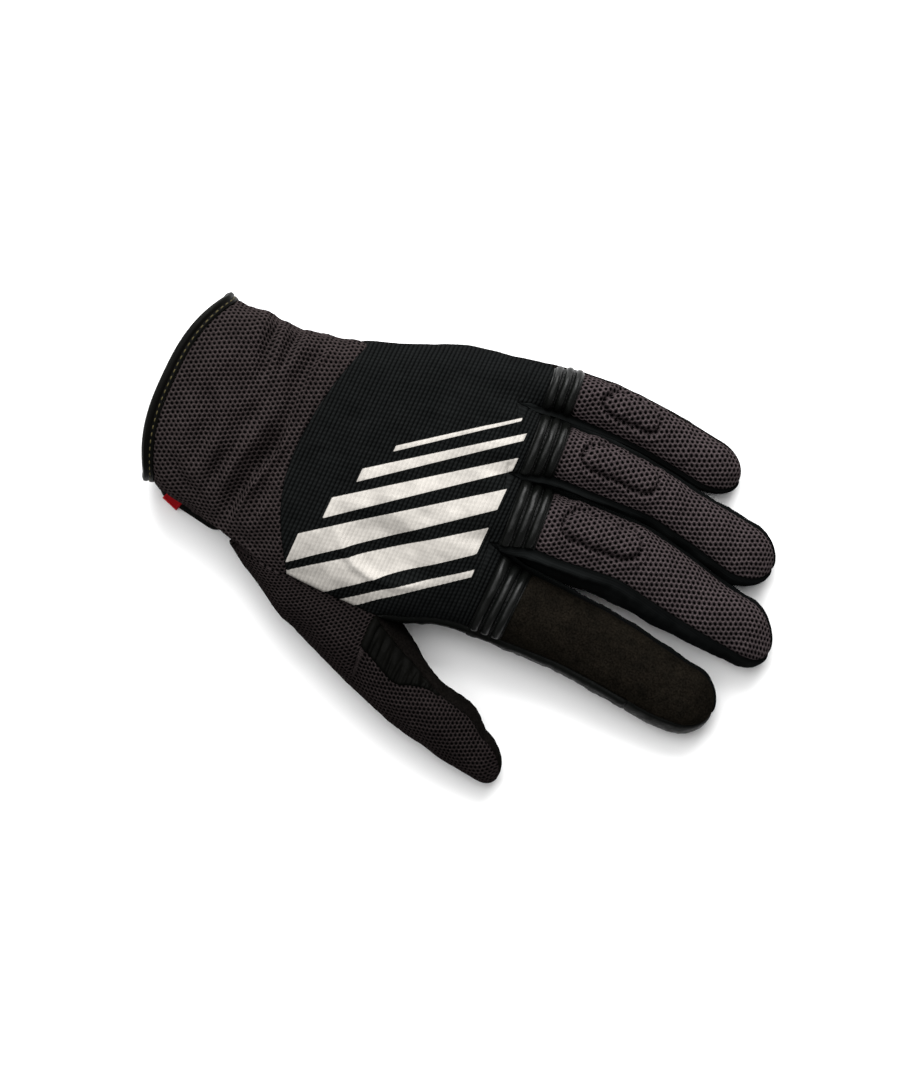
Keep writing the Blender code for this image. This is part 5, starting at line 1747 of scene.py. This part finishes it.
def settle(piece: bpy.types.Object, finish: Cloths, slot: str, replaces: bool = True) -> bpy.types.Object:
    """Dresses a piece and makes it part of the glove.

    Args:
        piece: The new object.
        finish: What it is made of.
        slot: Name of the solid in model.glb that the piece goes with.
        replaces: Whether it stands for that solid.

    Returns:
        The same object.
    """
    piece.data.materials.clear()
    piece.data.materials.append(finish.value.material())
    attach(piece, "root")
    if replaces:
        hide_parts(slot)
    LOG.info("%s: %d faces of %s", piece.name, len(piece.data.polygons), finish.value.name)
    return piece


def resampled(line: Array, spacing: float, margin: float = 0.0) -> tuple[Array, Array, Array]:
    """Walks a line at even steps.

    Args:
        line: Places and normals, six numbers a row.
        spacing: Length of a step in millimetres.
        margin: How much of both ends to leave out, in millimetres.

    Returns:
        Places, directions and normals at the middle of each step.
    """
    run = run_of(line[:, :3]) / MM
    whole = run[-1] - 2 * margin
    count = max(int(round(whole / spacing)), 1)
    at = margin + (np.arange(count) + 0.5) * whole / count
    read = [np.stack([np.interp(at + d, run, line[:, k]) for k in range(6)], -1) for d in (-0.3, 0, 0.3)]
    way = unit(read[2][:, :3] - read[0][:, :3])
    up = read[1][:, 3:] - way * np.sum(read[1][:, 3:] * way, axis=1, keepdims=True)
    return read[1][:, :3], way, unit(up)


@dataclass(frozen=True)
class Stitching:
    """A row of thread stitches; length, spacing and thickness in millimetres."""

    length: float = 1.7
    spacing: float = 2.5
    thick: float = 0.55
    rise: float = 0.10
    sides: int = 7
    rings: int = 6
    finish: Cloths = Cloths.THREAD

    def sew(self, name: str, lines: Sequence[Array], slot: str, margin: float = 0.8) -> bpy.types.Object:
        """Lays stitches along lines as one object.

        Args:
            name: The object's name.
            lines: Places and normals along each row of stitches.
            slot: Name of the solid that the stitches go with.
            margin: How far the rows stay from the lines' ends, in millimetres.

        Returns:
            The object, part of the glove.
        """
        read = [resampled(line, self.spacing, margin) for line in lines]
        middle, way, up = (np.concatenate([r[k] for r in read])[:, None, None, :] for k in range(3))
        side = np.cross(way, up)
        t = np.linspace(0, 1, self.rings)[None, :, None, None]
        turn = (np.arange(self.sides) * 2 * math.pi / self.sides)[None, None, :, None]
        round_it = self.thick / 2 * (0.30 + 0.70 * np.sin(math.pi * t) ** 0.5)
        bow = self.thick * 0.5 * (np.sin(math.pi * t) ** 0.8 - 0.7)
        height = self.rise + bow + round_it * np.sin(turn)
        out = side * round_it * np.cos(turn)
        points = middle + MM * (way * (t - 0.5) * self.length + up * height + out)
        count = len(points)
        index = np.arange(count * self.rings * self.sides).reshape(count, self.rings, self.sides)
        ahead = np.roll(index, -1, axis=2)
        quads = np.stack([index[:, :-1], ahead[:, :-1], ahead[:, 1:], index[:, 1:]], -1).reshape(-1, 4)
        caps = [*index[:, 0, ::-1].tolist(), *index[:, -1].tolist()]
        piece = new_piece(name, points.reshape(-1, 3), [*quads.tolist(), *caps], sharp=180.0)
        layer = piece.data.uv_layers.new(name="cloth")
        layer.data.foreach_set("uv", np.tile([0.2, 0.3], len(piece.data.loops)).astype(np.float32))
        return settle(piece, self.finish, slot, replaces=False)


def sheet_of(name: str, upper: Array, lower: Array, shape: tuple[int, int]) -> bpy.types.Object:
    """Closes two layers of points into one flat piece.

    Args:
        name: The piece's name.
        upper: Points of the upper layer, row by row.
        lower: Points of the lower layer in the same order.
        shape: Rows and columns of each layer.

    Returns:
        The new object.
    """
    index = np.arange(len(upper)).reshape(shape)
    quads = cells(index)
    border = [*index[0, :-1], *index[:-1, -1], *index[-1, :0:-1], *index[:0:-1, 0]][::-1]
    faces = quads.tolist() + (quads[:, ::-1] + len(upper)).tolist()
    faces += [[p, q, q + len(upper), p + len(upper)] for p, q in zip(border, border[1:] + border[:1])]
    return new_piece(name, np.concatenate([upper, lower]), faces)


def rounded(inset: Array, radius: float) -> Array:
    """Returns how far a rim that is rounded over that radius has risen, from 0 at the edge to 1."""
    return np.sqrt(np.clip(1 - np.clip(1 - inset / radius, 0, 1) ** 2, 0, 1))


def arch(place: Array, middle: float, half: float) -> Array:
    """Returns the round roll of height 1 that is that wide on both sides of its middle."""
    return np.sqrt(np.clip(1 - ((place - middle) / half) ** 2, 0, 1))


# The glove's sub-assemblies


@dataclass(frozen=True)
class Cuff:
    """Air-mesh tube round the wrist, its rolled leather edge and the strap's end below it; in millimetres."""

    wall: float = 2.0
    binding_wall: float = 2.6
    roll_height: float = 1.35
    roll_middle: float = 0.30  # of the binding's width, as the next two
    roll_half: float = 0.32
    stitch_row: float = 0.74
    strap_corner: float = 7.0
    strap_lean: float = -0.15
    strap_edge: float = 0.9  # height of its rim above the floor
    strap_seam: float = 2.6  # from the rim
    tag_size: tuple[float, float] = (7.4, 3.8)
    tag_place: tuple[float, float] = (8.2, 3.6)  # from the strap's corner
    tag_turn: float = -18.0
    holes: Holes = Holes(1.95, 1.02, 0.42)
    folds: tuple[Fold, ...] = (
        Fold(
            ((-76, 50), (-79.5, 38), (-79.5, 24), (-78.5, 10), (-78.3, 2), (-81, -7), (-83, -17), (-84, -34)),
            2.3, 1.2, 3.4, 0.5, 10,
        ),
        Fold(((-78.3, 14), (-78.3, 2), (-80.7, -6.6), (-83.2, -17), (-86, -30)), 3.2, 1.5, 6.0, 0.3, 12),
        Fold(((-97, 52), (-97.5, 42), (-95.7, 34), (-93, 22)), 2.5, 1.6, 2.6, 0.5, 8),
        Fold(((-88, 52), (-88.5, 40), (-89.5, 28)), 1.8, 1.4, 2.2, 0.5, 7),
        Fold(((-112, 16), (-107.8, 7.6), (-105.4, 0), (-104, -10), (-103, -21)), 2.3, 2.4, 4.2, 0.5, 10),
        Fold(((-91.8, 18), (-91.2, 8.9), (-92.5, -0.5), (-95, -13), (-94, -24)), 2.2, 2.2, 3.8, 0.5, 9),
        Fold(((-75.5, -8), (-75.0, -18), (-74.0, -29)), 1.2, 1.3, 2.0, 0.5, 7),
        Fold(((-70.5, 30), (-70, 14), (-71.5, 0)), 0.8, 1.2, 1.5, 0.4, 8),
        Fold(((-116, -14), (-108, -22), (-98, -28)), 1.2, 2.0, 3.0, 0.4, 8),
        Fold(((-93, -36), (-84, -36.5), (-76, -38.5), (-66, -41)), 1.6, 1.2, 1.5, 0.5, 6, 2),
    )

    def build(self, skin: Skin) -> None:
        """Makes the tube, its edge and the strap.

        Args:
            skin: The glove's skin.
        """
        rows, thick = (N.binding, N.cuff_row), 5
        body = Cloth(skin, [
            Patch("hand_top", rows, (0, 4 * N.top), thick, 4),
            Patch("hand_side", rows, (0, N.side), thick, 3),
            Patch("hand_under", rows, (0, 4 * N.bottom), thick, 2),
            Patch("thumb_root", rows, (0, N.bottom + N.side + N.top), thick, 3),
        ])
        ground = (SeamRoll(0.8, 1.8), Wrinkles(0.75, 30, 4), Wrinkles(0.32, 9, 5, (1.0, 0.35, 0.35)))
        body.lift(*ground, *self.folds, self.holes)
        settle(body.solid("cuff_air_mesh", self.wall), Cloths.CUFF_MESH_SHADED, "cuff")
        self.build_binding(skin)
        self.build_strap()

    def build_binding(self, skin: Skin) -> None:
        """Makes the rolled edge: a round roll at the opening, then a flat hem with its row of stitches.

        Args:
            skin: The glove's skin.
        """
        rows, fine = (0, N.binding), 10
        edge = Cloth(skin, [
            Patch("hand_top", rows, (0, 4 * N.top), fine, 3),
            Patch("hand_side", rows, (0, N.side), fine, 3),
            Patch("hand_under", rows, (0, 4 * N.bottom), fine, 2),
            Patch("thumb_root", rows, (0, N.bottom + N.side + N.top), fine, 2),
        ])
        edge.lift(self.roll, Wrinkles(0.10, 7, 8))
        piece = edge.solid("edge_binding_leather", self.binding_wall, tuck=1.2)
        settle(piece, Cloths.BINDING, "cuff_binding")
        stitches = Stitching(1.9, 2.9, 0.5, 0.05, finish=Cloths.OLIVE_THREAD)
        row = round(self.stitch_row * N.binding * fine)
        stitches.sew("edge_binding_stitches", [edge.line(n, row=row) for n in (0, 1, 3)], "cuff_binding", 0.0)

    def roll(self, cloth: Cloth) -> Array:
        """Shapes the binding's profile: its roll, the groove of the stitches and the hem.

        Args:
            cloth: The piece's cloth.

        Returns:
            Heights in millimetres.
        """
        t = cloth.labels[:, 1] / N.binding
        start = t / self.roll_middle
        rise = self.roll_height * np.sqrt(np.clip(start, 0, 1)) - 0.5 * (1 - start)
        fall = self.roll_height * arch(t, self.roll_middle, self.roll_half)
        hem = 0.50 * ease(0.60, 0.68, t) * (1 - ease(0.80, 1.0, t)) - 0.25 * bump(t, 0.75, 0.05)
        return np.where(start < 1, rise, np.maximum(fall, hem))

    def build_strap(self) -> None:
        """Makes the end of the closure strap, with a rolled rim and a sunk seam, and its plain tag."""
        low, high = (np.array(corner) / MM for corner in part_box("closure_tab"))
        fine = 46
        a, b = np.meshgrid(np.linspace(-1, 1, fine), np.linspace(-1, 1, 2 * fine), indexing="ij")
        half = (high - low) / 2
        corner, lean, edge = self.strap_corner, self.strap_lean, self.strap_edge
        half[1] -= abs(lean) * (half[0] - corner) + corner * (math.hypot(1, lean) - 1)
        reach = np.stack([a * half[0], b * half[1]], -1)
        core = np.clip(reach, -(half[:2] - corner), half[:2] - corner)
        out = reach - core
        wide = np.linalg.norm(out, axis=-1)
        longest = np.max(np.abs(out), axis=-1)
        out *= np.where(wide > 0, longest / np.maximum(wide, 1e-9), 0)[..., None]
        place = core + out + (low + high)[:2] / 2
        place[..., 1] += lean * (place[..., 0] - (low[0] + high[0]) / 2)
        inset = corner - np.linalg.norm(out, axis=-1)
        inset = np.minimum(inset, np.min(half[:2] - np.abs(reach), axis=-1))
        roll = rounded(inset, 1.0)
        top = edge + (half[2] * 2 - edge) * roll - 0.22 * bump(inset, self.strap_seam, 0.45)
        under = edge - edge * roll
        upper, lower = (np.concatenate([place, z[..., None]], -1).reshape(-1, 3) * MM for z in (top, under))
        piece = sheet_of("closure_strap_end", upper, lower, a.shape)
        settle(piece, Cloths.LEATHER, "closure_tab")
        self.build_tag(low, high)

    def build_tag(self, low: Array, high: Array) -> None:
        """Makes the plain moulded patch on the strap's edge.

        Args:
            low: Lowest corner of the strap's box, in millimetres.
            high: Its highest corner.
        """
        fine = 24
        a, b = np.meshgrid(np.linspace(-1, 1, 2 * fine), np.linspace(-1, 1, fine), indexing="ij")
        half, middle = np.array(self.tag_size) / 2, low[:2] + np.array(self.tag_place)
        turn = math.radians(self.tag_turn)
        c, s = math.cos(turn), math.sin(turn)
        x, y = a * half[0], b * half[1]
        inset = np.minimum(half[0] - np.abs(x), half[1] - np.abs(y))
        top = high[2] - 0.5 + 1.3 * rounded(inset, 0.5) - 0.2 * ease(0.7, 1.1, inset)
        under = 0 * top + high[2] - 0.6
        place = np.stack([middle[0] + x * c - y * s, middle[1] + x * s + y * c], -1)
        upper, lower = (np.concatenate([place, z[..., None]], -1).reshape(-1, 3) * MM for z in (top, under))
        piece = sheet_of("closure_strap_tag", upper, lower, a.shape)
        settle(piece, Cloths.TAG, "closure_tab", replaces=False)


@dataclass(frozen=True)
class BackPanel:
    """Ribbed stretch back of the hand with its print; in millimetres."""

    wall: float = 1.7
    ribs: Ribbing = Ribbing()
    dent: Dent = Dent((-23.0, -15.5), (36.0, 23.0), 3.2, -6.0)
    # Printed bars: distance of the axis from the middle, width at both ends, start and end along the glove.
    bars: tuple[tuple[float, float, float, float, float], ...] = (
        (-27.0, 4.0, 2.5, -40.0, 12.0),
        (-15.5, 12.0, 9.0, -57.0, 10.0),
        (-1.5, 10.0, 7.0, -56.0, 10.0),
        (10.5, 7.0, 4.5, -50.0, 9.0),
        (20.0, 4.5, 2.5, -44.0, 8.0),
        (27.0, 2.0, 1.2, -36.0, 4.0),
    )
    slant: float = 38.0
    middle: tuple[float, float] = (-23.0, -2.0)

    def build(self, skin: Skin) -> None:
        """Makes the panel with the print's edges marked on it.

        Args:
            skin: The glove's skin.
        """
        rows, fine = (N.cuff_row, N.palm_row), 6
        patches = [Patch("hand_top", rows, (0, 4 * N.top), fine, 4)]
        patches.append(Patch("hand_side", rows, (0, 2), fine, 3))
        patches += [Patch(finger.name, (0, N.neck), (0, N.top), fine, 4) for finger in FINGERS]
        patches.append(Patch("little", (0, N.neck), (N.top, N.top + 2), fine, 3))
        cloth = Cloth(skin, patches)
        cloth.lift(SeamRoll(0.7, 1.4), Wrinkles(0.30, 24, 11), Wrinkles(0.16, 9, 12, (0.5, 1, 1)), self.dent)
        printed = self.print_distance(cloth)
        sunk = 1 - 0.75 * ease(0.3, -0.3, printed)
        cloth.height = cloth.height + self.ribs(cloth) * sunk
        cloth.marks["print_distance"] = printed
        settle(cloth.solid("back_ribbed_stretch", self.wall), Cloths.RIBBED, "back_panel")

    def print_distance(self, cloth: Cloth) -> Array:
        """Measures how far each point is outside the printed bars.

        Args:
            cloth: The panel's cloth.

        Returns:
            Distances in millimetres, negative inside.
        """
        best = np.full(len(cloth.places), 99.0)
        angle = math.radians(self.slant)
        x, y = cloth.x - self.middle[0], cloth.y - self.middle[1]
        across = y * math.cos(angle) - x * math.sin(angle)
        for axis, wide, narrow, start, end in self.bars:
            share = np.clip((cloth.x - start) / (end - start), 0, 1)
            half = mix(wide, narrow, share) / 2
            side = np.abs(across - axis) - half
            ends = np.maximum(start - cloth.x, cloth.x - end)
            inside = np.minimum(np.maximum(side, ends), 0)
            outside = np.hypot(np.maximum(side, 0), np.maximum(ends, 0))
            best = np.minimum(best, inside + outside)
        return best


@dataclass(frozen=True)
class KnuckleFlex:
    """Padded leather panel over one knuckle, with ribs and rows of stitches; in millimetres."""

    finger: str
    wall: float = 1.5
    ribs: int = 3
    height: float = 1.9
    valley: float = 0.17  # of a rib's width
    stitching: Stitching = Stitching(1.35, 1.95, 0.42, 0.10)

    def build(self, skin: Skin) -> None:
        """Makes the panel with its padded ribs and sews the rows between them.

        Args:
            skin: The glove's skin.
        """
        fine = 6
        cloth = Cloth(skin, [Patch(self.finger, (N.neck, N.flex_row), (0, N.top), fine, 6)])
        cloth.lift(self.quilt, Wrinkles(0.06, 6, 21))
        piece = cloth.solid("flex_" + self.finger + "_leather", self.wall)
        settle(piece, Cloths.FLEX, "knuckle_flex_" + self.finger)
        rows = [round(n * N.flex * fine / self.ribs) for n in range(1, self.ribs)]
        lines = [cloth.line(0, row=row) for row in rows]
        self.stitching.sew("flex_" + self.finger + "_stitches", lines, "knuckle_flex_" + self.finger, 1.0)

    def quilt(self, cloth: Cloth) -> Array:
        """Rounds the ribs, which run out at both side seams.

        Args:
            cloth: The piece's cloth.

        Returns:
            Heights in millimetres.
        """
        t = (cloth.labels[:, 1] - N.neck) * self.ribs / N.flex
        rise = arch(t % 1, 0.5, 0.5 - self.valley / 2)
        ends = rounded(np.minimum(cloth.labels[:, 2], N.top - cloth.labels[:, 2]), 1.9)
        rib = np.floor(t)
        lump = 1 + 0.07 * np.sin(cloth.v / 2.9 + 3.0 * rib) + 0.05 * np.sin(cloth.v / 1.3 + rib)
        return self.height * rise * ends * lump - 0.25


@dataclass(frozen=True)
class FingerBack:
    """Back of one finger: mesh with a stitched oval pad, or plain suede; in millimetres."""

    number: int
    wall: float = 2.0
    holes: Holes = Holes(2.1, 1.08, 0.42)
    pad_height: float = 2.0
    groove: float = 1.9

    def build(self, skin: Skin) -> None:
        """Makes the piece from the flex panel to the tip.

        Args:
            skin: The glove's skin.
        """
        finger = FINGERS[self.number]
        suede = finger.name == "index"
        rows, across = (4, 4) if suede else (7, 6)
        tip = 4 if suede else 5
        cloth = Cloth(skin, [
            Patch(finger.name, (N.flex_row, N.cap_row), (0, N.top), rows, across),
            Patch(finger.name, (N.cap_row, N.tip_row), (0, N.top), tip, across),
        ])
        seed = 30 + self.number
        if suede:
            cloth.lift(SeamRoll(0.6, 1.6), Wrinkles(0.30, 26, seed), Wrinkles(0.10, 8, seed))
            piece = cloth.solid("index_back_suede", self.wall)
            settle(piece, Cloths.SUEDE, "finger_back_index")
            return
        ground = (SeamRoll(0.75, 1.7), Wrinkles(0.50, 24, seed), Wrinkles(0.26, 9, seed, (1, 0.5, 0.5)))
        cloth.lift(*ground, self.pad, self.holes)
        piece = cloth.solid(finger.name + "_back_air_mesh", self.wall)
        settle(piece, Cloths.FINGER_MESH, "finger_back_" + finger.name)

    def pad(self, cloth: Cloth) -> Array:
        """Raises the oval pad and sinks the puckered groove stitched round it.

        Args:
            cloth: The piece's cloth.

        Returns:
            Heights in millimetres.
        """
        finger = FINGERS[self.number]
        along_at, across_at, length, width = finger.pad
        x = cloth.x * MM - Skin.PLACE[0]
        low, high = FORM.line(self.number, x)[0], FORM.line(self.number + 1, x)[0]
        across = cloth.y * MM - Skin.PLACE[1] - (low + high) / 2 - across_at * (high - low) / 2
        across = across / MM
        half = width * float(np.mean(high - low)) / 2 / MM
        along = (x - FORM.root(self.number) - along_at * finger.length) / MM
        straight = length * finger.length / 2 / MM - half
        past = np.maximum(np.abs(along) - straight, 0)
        far = np.hypot(past, across) - half
        turn = np.where(past > 0, straight + half * np.arctan2(past, np.abs(across)), np.abs(along))
        pucker = 1 + 0.25 * np.sin(2 * math.pi * turn / 2.7 + np.sign(across))
        far = far + 0.35 * drift(np.column_stack([cloth.x, cloth.y]), 9, 90 + self.number, 2)
        worn = 0.35 + 0.65 * np.maximum(ease(half, -half, across), ease(straight, -straight - half, along))
        inside = self.pad_height * (1 - np.clip((far + half) / half, 0, 1) ** 4)
        outside = 0.8 * bump(far, 2.6, 1.3) * (0.7 + 0.3 * pucker)
        groove = self.groove * mix(0.45, 1, worn) * pucker * bump(far, 0.35, mix(0.5, 1.0, worn))
        return inside + worn * outside - groove


@dataclass(frozen=True)
class Fourchette:
    """Smooth side walls between two fingers, with a rolled seam where the slit starts; in millimetres."""

    first: str
    second: str
    wall: float = 1.7

    def build(self, skin: Skin) -> None:
        """Makes both walls in one piece, joined along the fold between the fingers.

        Args:
            skin: The glove's skin.
        """
        cloth = Cloth(skin, [
            Patch(self.first, (0, N.tip_row), (N.top, N.inner_end), 4, 5),
            Patch(self.second, (0, N.tip_row), (N.under_end, N.ring), 4, 5),
        ])
        cloth.lift(SeamRoll(0.5, 1.2), self.ridge, Wrinkles(0.30, 14, 41), Wrinkles(0.14, 6, 42))
        name = "fourchette_" + self.first + "_" + self.second
        settle(cloth.solid(name + "_jersey", self.wall), Cloths.JERSEY, name)

    def ridge(self, cloth: Cloth) -> Array:
        """Raises the upper seams as far as the fingers' middle, and swells the walls to close the slit.

        Args:
            cloth: The piece's cloth.

        Returns:
            Heights in millimetres.
        """
        row, column = cloth.labels[:, 1], cloth.labels[:, 2]
        top = np.where(cloth.of_patch(0), column - N.top, N.ring - column)
        along = 1 - ease(16, 34, row)
        ridge = (1.7 * bump(top, 0.65, 0.42) - 1.1 * bump(top, 1.7, 0.4)) * along * ease(0, 2.0, row + 1.0)
        return ridge + 0.5 * ease(0, 0.8, top) * ease(14, 30, row)


@dataclass(frozen=True)
class IndexSide:
    """Leather strip from the thumb's crotch along the index finger, and its tip; in millimetres."""

    wall: float = 1.5

    def build(self, skin: Skin) -> None:
        """Makes the strip and the fingertip patch.

        Args:
            skin: The glove's skin.
        """
        side, patch = N.under_end, N.patch_row
        strip = Cloth(skin, [
            Patch("index_side", (0, N.palm), (0, N.side), 4, 4),
            Patch("index", (0, patch), (side, N.ring), 4, 4),
        ])
        strip.lift(SeamRoll(0.5, 1.4), self.welt, Wrinkles(0.35, 12, 51), Wrinkles(0.15, 5, 52))
        settle(strip.solid("index_side_leather", self.wall), Cloths.LEATHER, "index_side_strip")
        tip = Cloth(skin, [Patch("index", (patch, N.tip_row), (N.inner_end, N.ring), 4, 4)])
        tip.lift(SeamRoll(0.5, 1.2), Wrinkles(0.20, 8, 53))
        settle(tip.solid("index_tip_leather", self.wall), Cloths.LEATHER, "touch_tip_index")

    def welt(self, cloth: Cloth) -> Array:
        """Returns the rolled welt along the strip's upper seam."""
        top = np.where(cloth.of_patch(0), N.side, N.ring) - cloth.labels[:, 2]
        return 0.9 * arch(top, 0.8, 0.8) - 0.35 * bump(top, 1.8, 0.25)


@dataclass(frozen=True)
class Thumb:
    """Mesh back, dark inner side and gathered gusset of the thumb; in millimetres."""

    wall: float = 2.0
    gather: float = 0.42
    holes: Holes = Holes(1.8, 0.95, 0.38)

    def build(self, skin: Skin) -> None:
        """Makes the thumb's three pieces.

        Args:
            skin: The glove's skin.
        """
        root, outer = (N.cuff_row, N.wrist_row), (N.under_end, N.ring)
        edge, cap = N.gusset_edge, N.gusset + N.thumb
        back = Cloth(skin, [
            Patch("thumb_root", root, (N.bottom, N.bottom + N.side + N.top), 5, 5),
            Patch("thumb", (0, N.gusset), (0, edge), 4, 5),
            Patch("thumb", (N.gusset, cap), (0, N.top), 9, 5),
            Patch("thumb", (cap, N.thumb_row), (0, N.top), 4, 5),
            Patch("thumb", (0, N.gusset), outer, 4, 5),
            Patch("thumb", (N.gusset, cap), outer, 9, 5),
            Patch("thumb", (cap, N.thumb_row), outer, 4, 5),
        ])
        back.lift(SeamRoll(0.7, 1.6), Wrinkles(0.45, 22, 61), Wrinkles(0.20, 9, 62), self.holes)
        settle(back.solid("thumb_back_air_mesh", self.wall), Cloths.THUMB_MESH_SHADED, "thumb_back")
        gusset = Cloth(skin, [Patch("thumb", (0, N.gusset), (edge, N.top), 5, 8)])
        gusset.lift(SeamRoll(0.6, 1.3), self.gathers, Wrinkles(0.20, 7, 63))
        settle(gusset.solid("thumb_gusset_leather", 1.5), Cloths.GUSSET, "thumb_gusset")
        front = Cloth(skin, [
            Patch("thumb_root", root, (0, N.bottom), 3, 3),
            Patch("thumb", (0, N.gusset), (N.top, N.under_end), 3, 3),
            Patch("thumb", (N.gusset, cap), (N.top, N.under_end), 5, 3),
            Patch("thumb", (cap, N.thumb_row), (N.top, N.under_end), 3, 3),
        ])
        front.lift(SeamRoll(0.5, 1.5), Wrinkles(0.35, 14, 64))
        settle(front.solid("thumb_front_suede", 1.5), Cloths.PALM, "thumb_front")

    def gathers(self, cloth: Cloth) -> Array:
        """Sinks uneven puckers that run across the gusset, and raises the welt at its top.

        Args:
            cloth: The piece's cloth.

        Returns:
            Heights in millimetres.
        """
        row = cloth.labels[:, 1]
        across = (cloth.labels[:, 2] - 2 * N.top / 3) / (N.top / 3)
        chance = np.random.default_rng(7)
        height = 0.25 * np.sin(1.9 * row + 1.5 * across) * ease(2.5, 5, row) * ease(24, 20, row)
        for start in np.arange(3.4, 23.0, 1.05):
            place = start + chance.uniform(-0.35, 0.35) + chance.uniform(-1.2, 1.2) * across**2
            crease = bump(row, place, chance.uniform(0.22, 0.38))
            crease = crease * ease(*chance.uniform((0.6, 0.2), (1.0, 0.5)), across)
            height -= self.gather * chance.uniform(0.5, 1.5) * crease
        return height + (1.1 * arch(row, 1.1, 1.1) - 0.5 * bump(row, 2.4, 0.3))


@dataclass(frozen=True)
class Palm:
    """Suede palm with the undersides of the fingers; in millimetres."""

    wall: float = 1.5

    def build(self, skin: Skin) -> None:
        """Makes the palm in one piece.

        Args:
            skin: The glove's skin.
        """
        rows, low, high = (N.cuff_row, N.palm_row), N.inner_end, N.under_end
        patches = [Patch("hand_under", rows, (0, 4 * N.bottom), 2, 2)]
        patches.append(Patch("hand_side", rows, (2, N.side), 2, 2))
        for finger in FINGERS:
            end = N.patch_row if finger.name == "index" else N.tip_row
            patches.append(Patch(finger.name, (0, end), (low, high), 2, 2))
        patches.append(Patch("little", (0, N.neck), (N.top + 2, low), 2, 2))
        patches.append(Patch("little", (N.neck, N.tip_row), (N.top, low), 2, 2))
        cloth = Cloth(skin, patches)
        cloth.lift(SeamRoll(0.5, 1.6), Wrinkles(0.30, 18, 71))
        settle(cloth.solid("palm_suede", self.wall), Cloths.PALM, "palm")


@dataclass(frozen=True)
class Studio:
    """Plain pale floor, soft lamps and the camera straight above; metres and degrees."""

    turn: float = 25.0
    lens: float = 300.0
    wide: float = 0.3545
    high: float = 0.4212
    aim: tuple[float, float, float] = (0.0, -0.0002, 0.012)

    def build(self) -> None:
        """Sets up the floor, the lamps, the sky and the camera."""
        scene = bpy.context.scene
        scene.view_settings.view_transform = "Standard"
        mesh = bpy.data.meshes.new("studio_floor")
        reach = 6.0
        corners = [(-reach, -reach, 0), (reach, -reach, 0), (reach, reach, 0), (-reach, reach, 0)]
        mesh.from_pydata(corners, [], [(0, 1, 2, 3)])
        floor = bpy.data.objects.new("studio_floor", mesh)
        floor.location.z = -0.0002
        scene.collection.objects.link(floor)
        paper = Finish("paper_matte", "#fafafa", 0.95, unevenness=0.0)
        mesh.materials.append(paper.material())
        world = bpy.data.worlds.new("studio_sky")
        world.use_nodes = True
        world.node_tree.nodes["Background"].inputs["Color"].default_value = linear("#ffffff")
        world.node_tree.nodes["Background"].inputs["Strength"].default_value = 0.33
        scene.world = world
        turned = math.radians(self.turn)
        c, s = math.cos(turned), math.sin(turned)
        # x and y as the picture sees them, height, size and power of each lamp.
        for name, x, y, z, size, power in (
            ("key_lamp", 0.10, 1.5, 1.0, 1.6, 70.0),
            ("fill_lamp", -1.1, 0.5, 1.5, 1.4, 17.0),
            ("top_lamp", 0.3, 0.8, 2.1, 1.6, 24.0),
        ):
            lamp = bpy.data.lights.new(name, "AREA")
            lamp.size, lamp.energy = size, power
            obj = bpy.data.objects.new(name, lamp)
            place = Vector((x * c - y * s, x * s + y * c, z))
            obj.location = place
            obj.rotation_euler = (-place).to_track_quat("-Z", "Y").to_euler()
            scene.collection.objects.link(obj)
        camera = bpy.data.cameras.new("camera")
        camera.lens, camera.sensor_width = self.lens, 36.0
        distance = self.high * self.lens / camera.sensor_width
        camera.clip_start, camera.clip_end = 0.05, 50.0
        obj = bpy.data.objects.new("camera", camera)
        obj.location = Vector(self.aim) + Vector((0, 0, distance))
        obj.rotation_euler = (0, 0, turned)
        scene.collection.objects.link(obj)
        scene.camera = obj


def main() -> None:
    """Builds the glove piece by piece, then the studio."""
    logging.basicConfig(level=logging.INFO, format="%(message)s")
    skin = Skin()
    LOG.info("skin: %d points in %d grids", len(skin.points), len(skin.grids))
    parts = [Cuff(), BackPanel(), *(KnuckleFlex(finger.name) for finger in FINGERS)]
    parts += [FingerBack(number) for number in range(len(FINGERS))]
    parts += [Fourchette(a.name, b.name) for a, b in zip(FINGERS, FINGERS[1:])]
    parts += [IndexSide(), Thumb(), Palm()]
    for part in parts:
        part.build(skin)
    Studio().build()


if __name__ == "__main__":
    main()
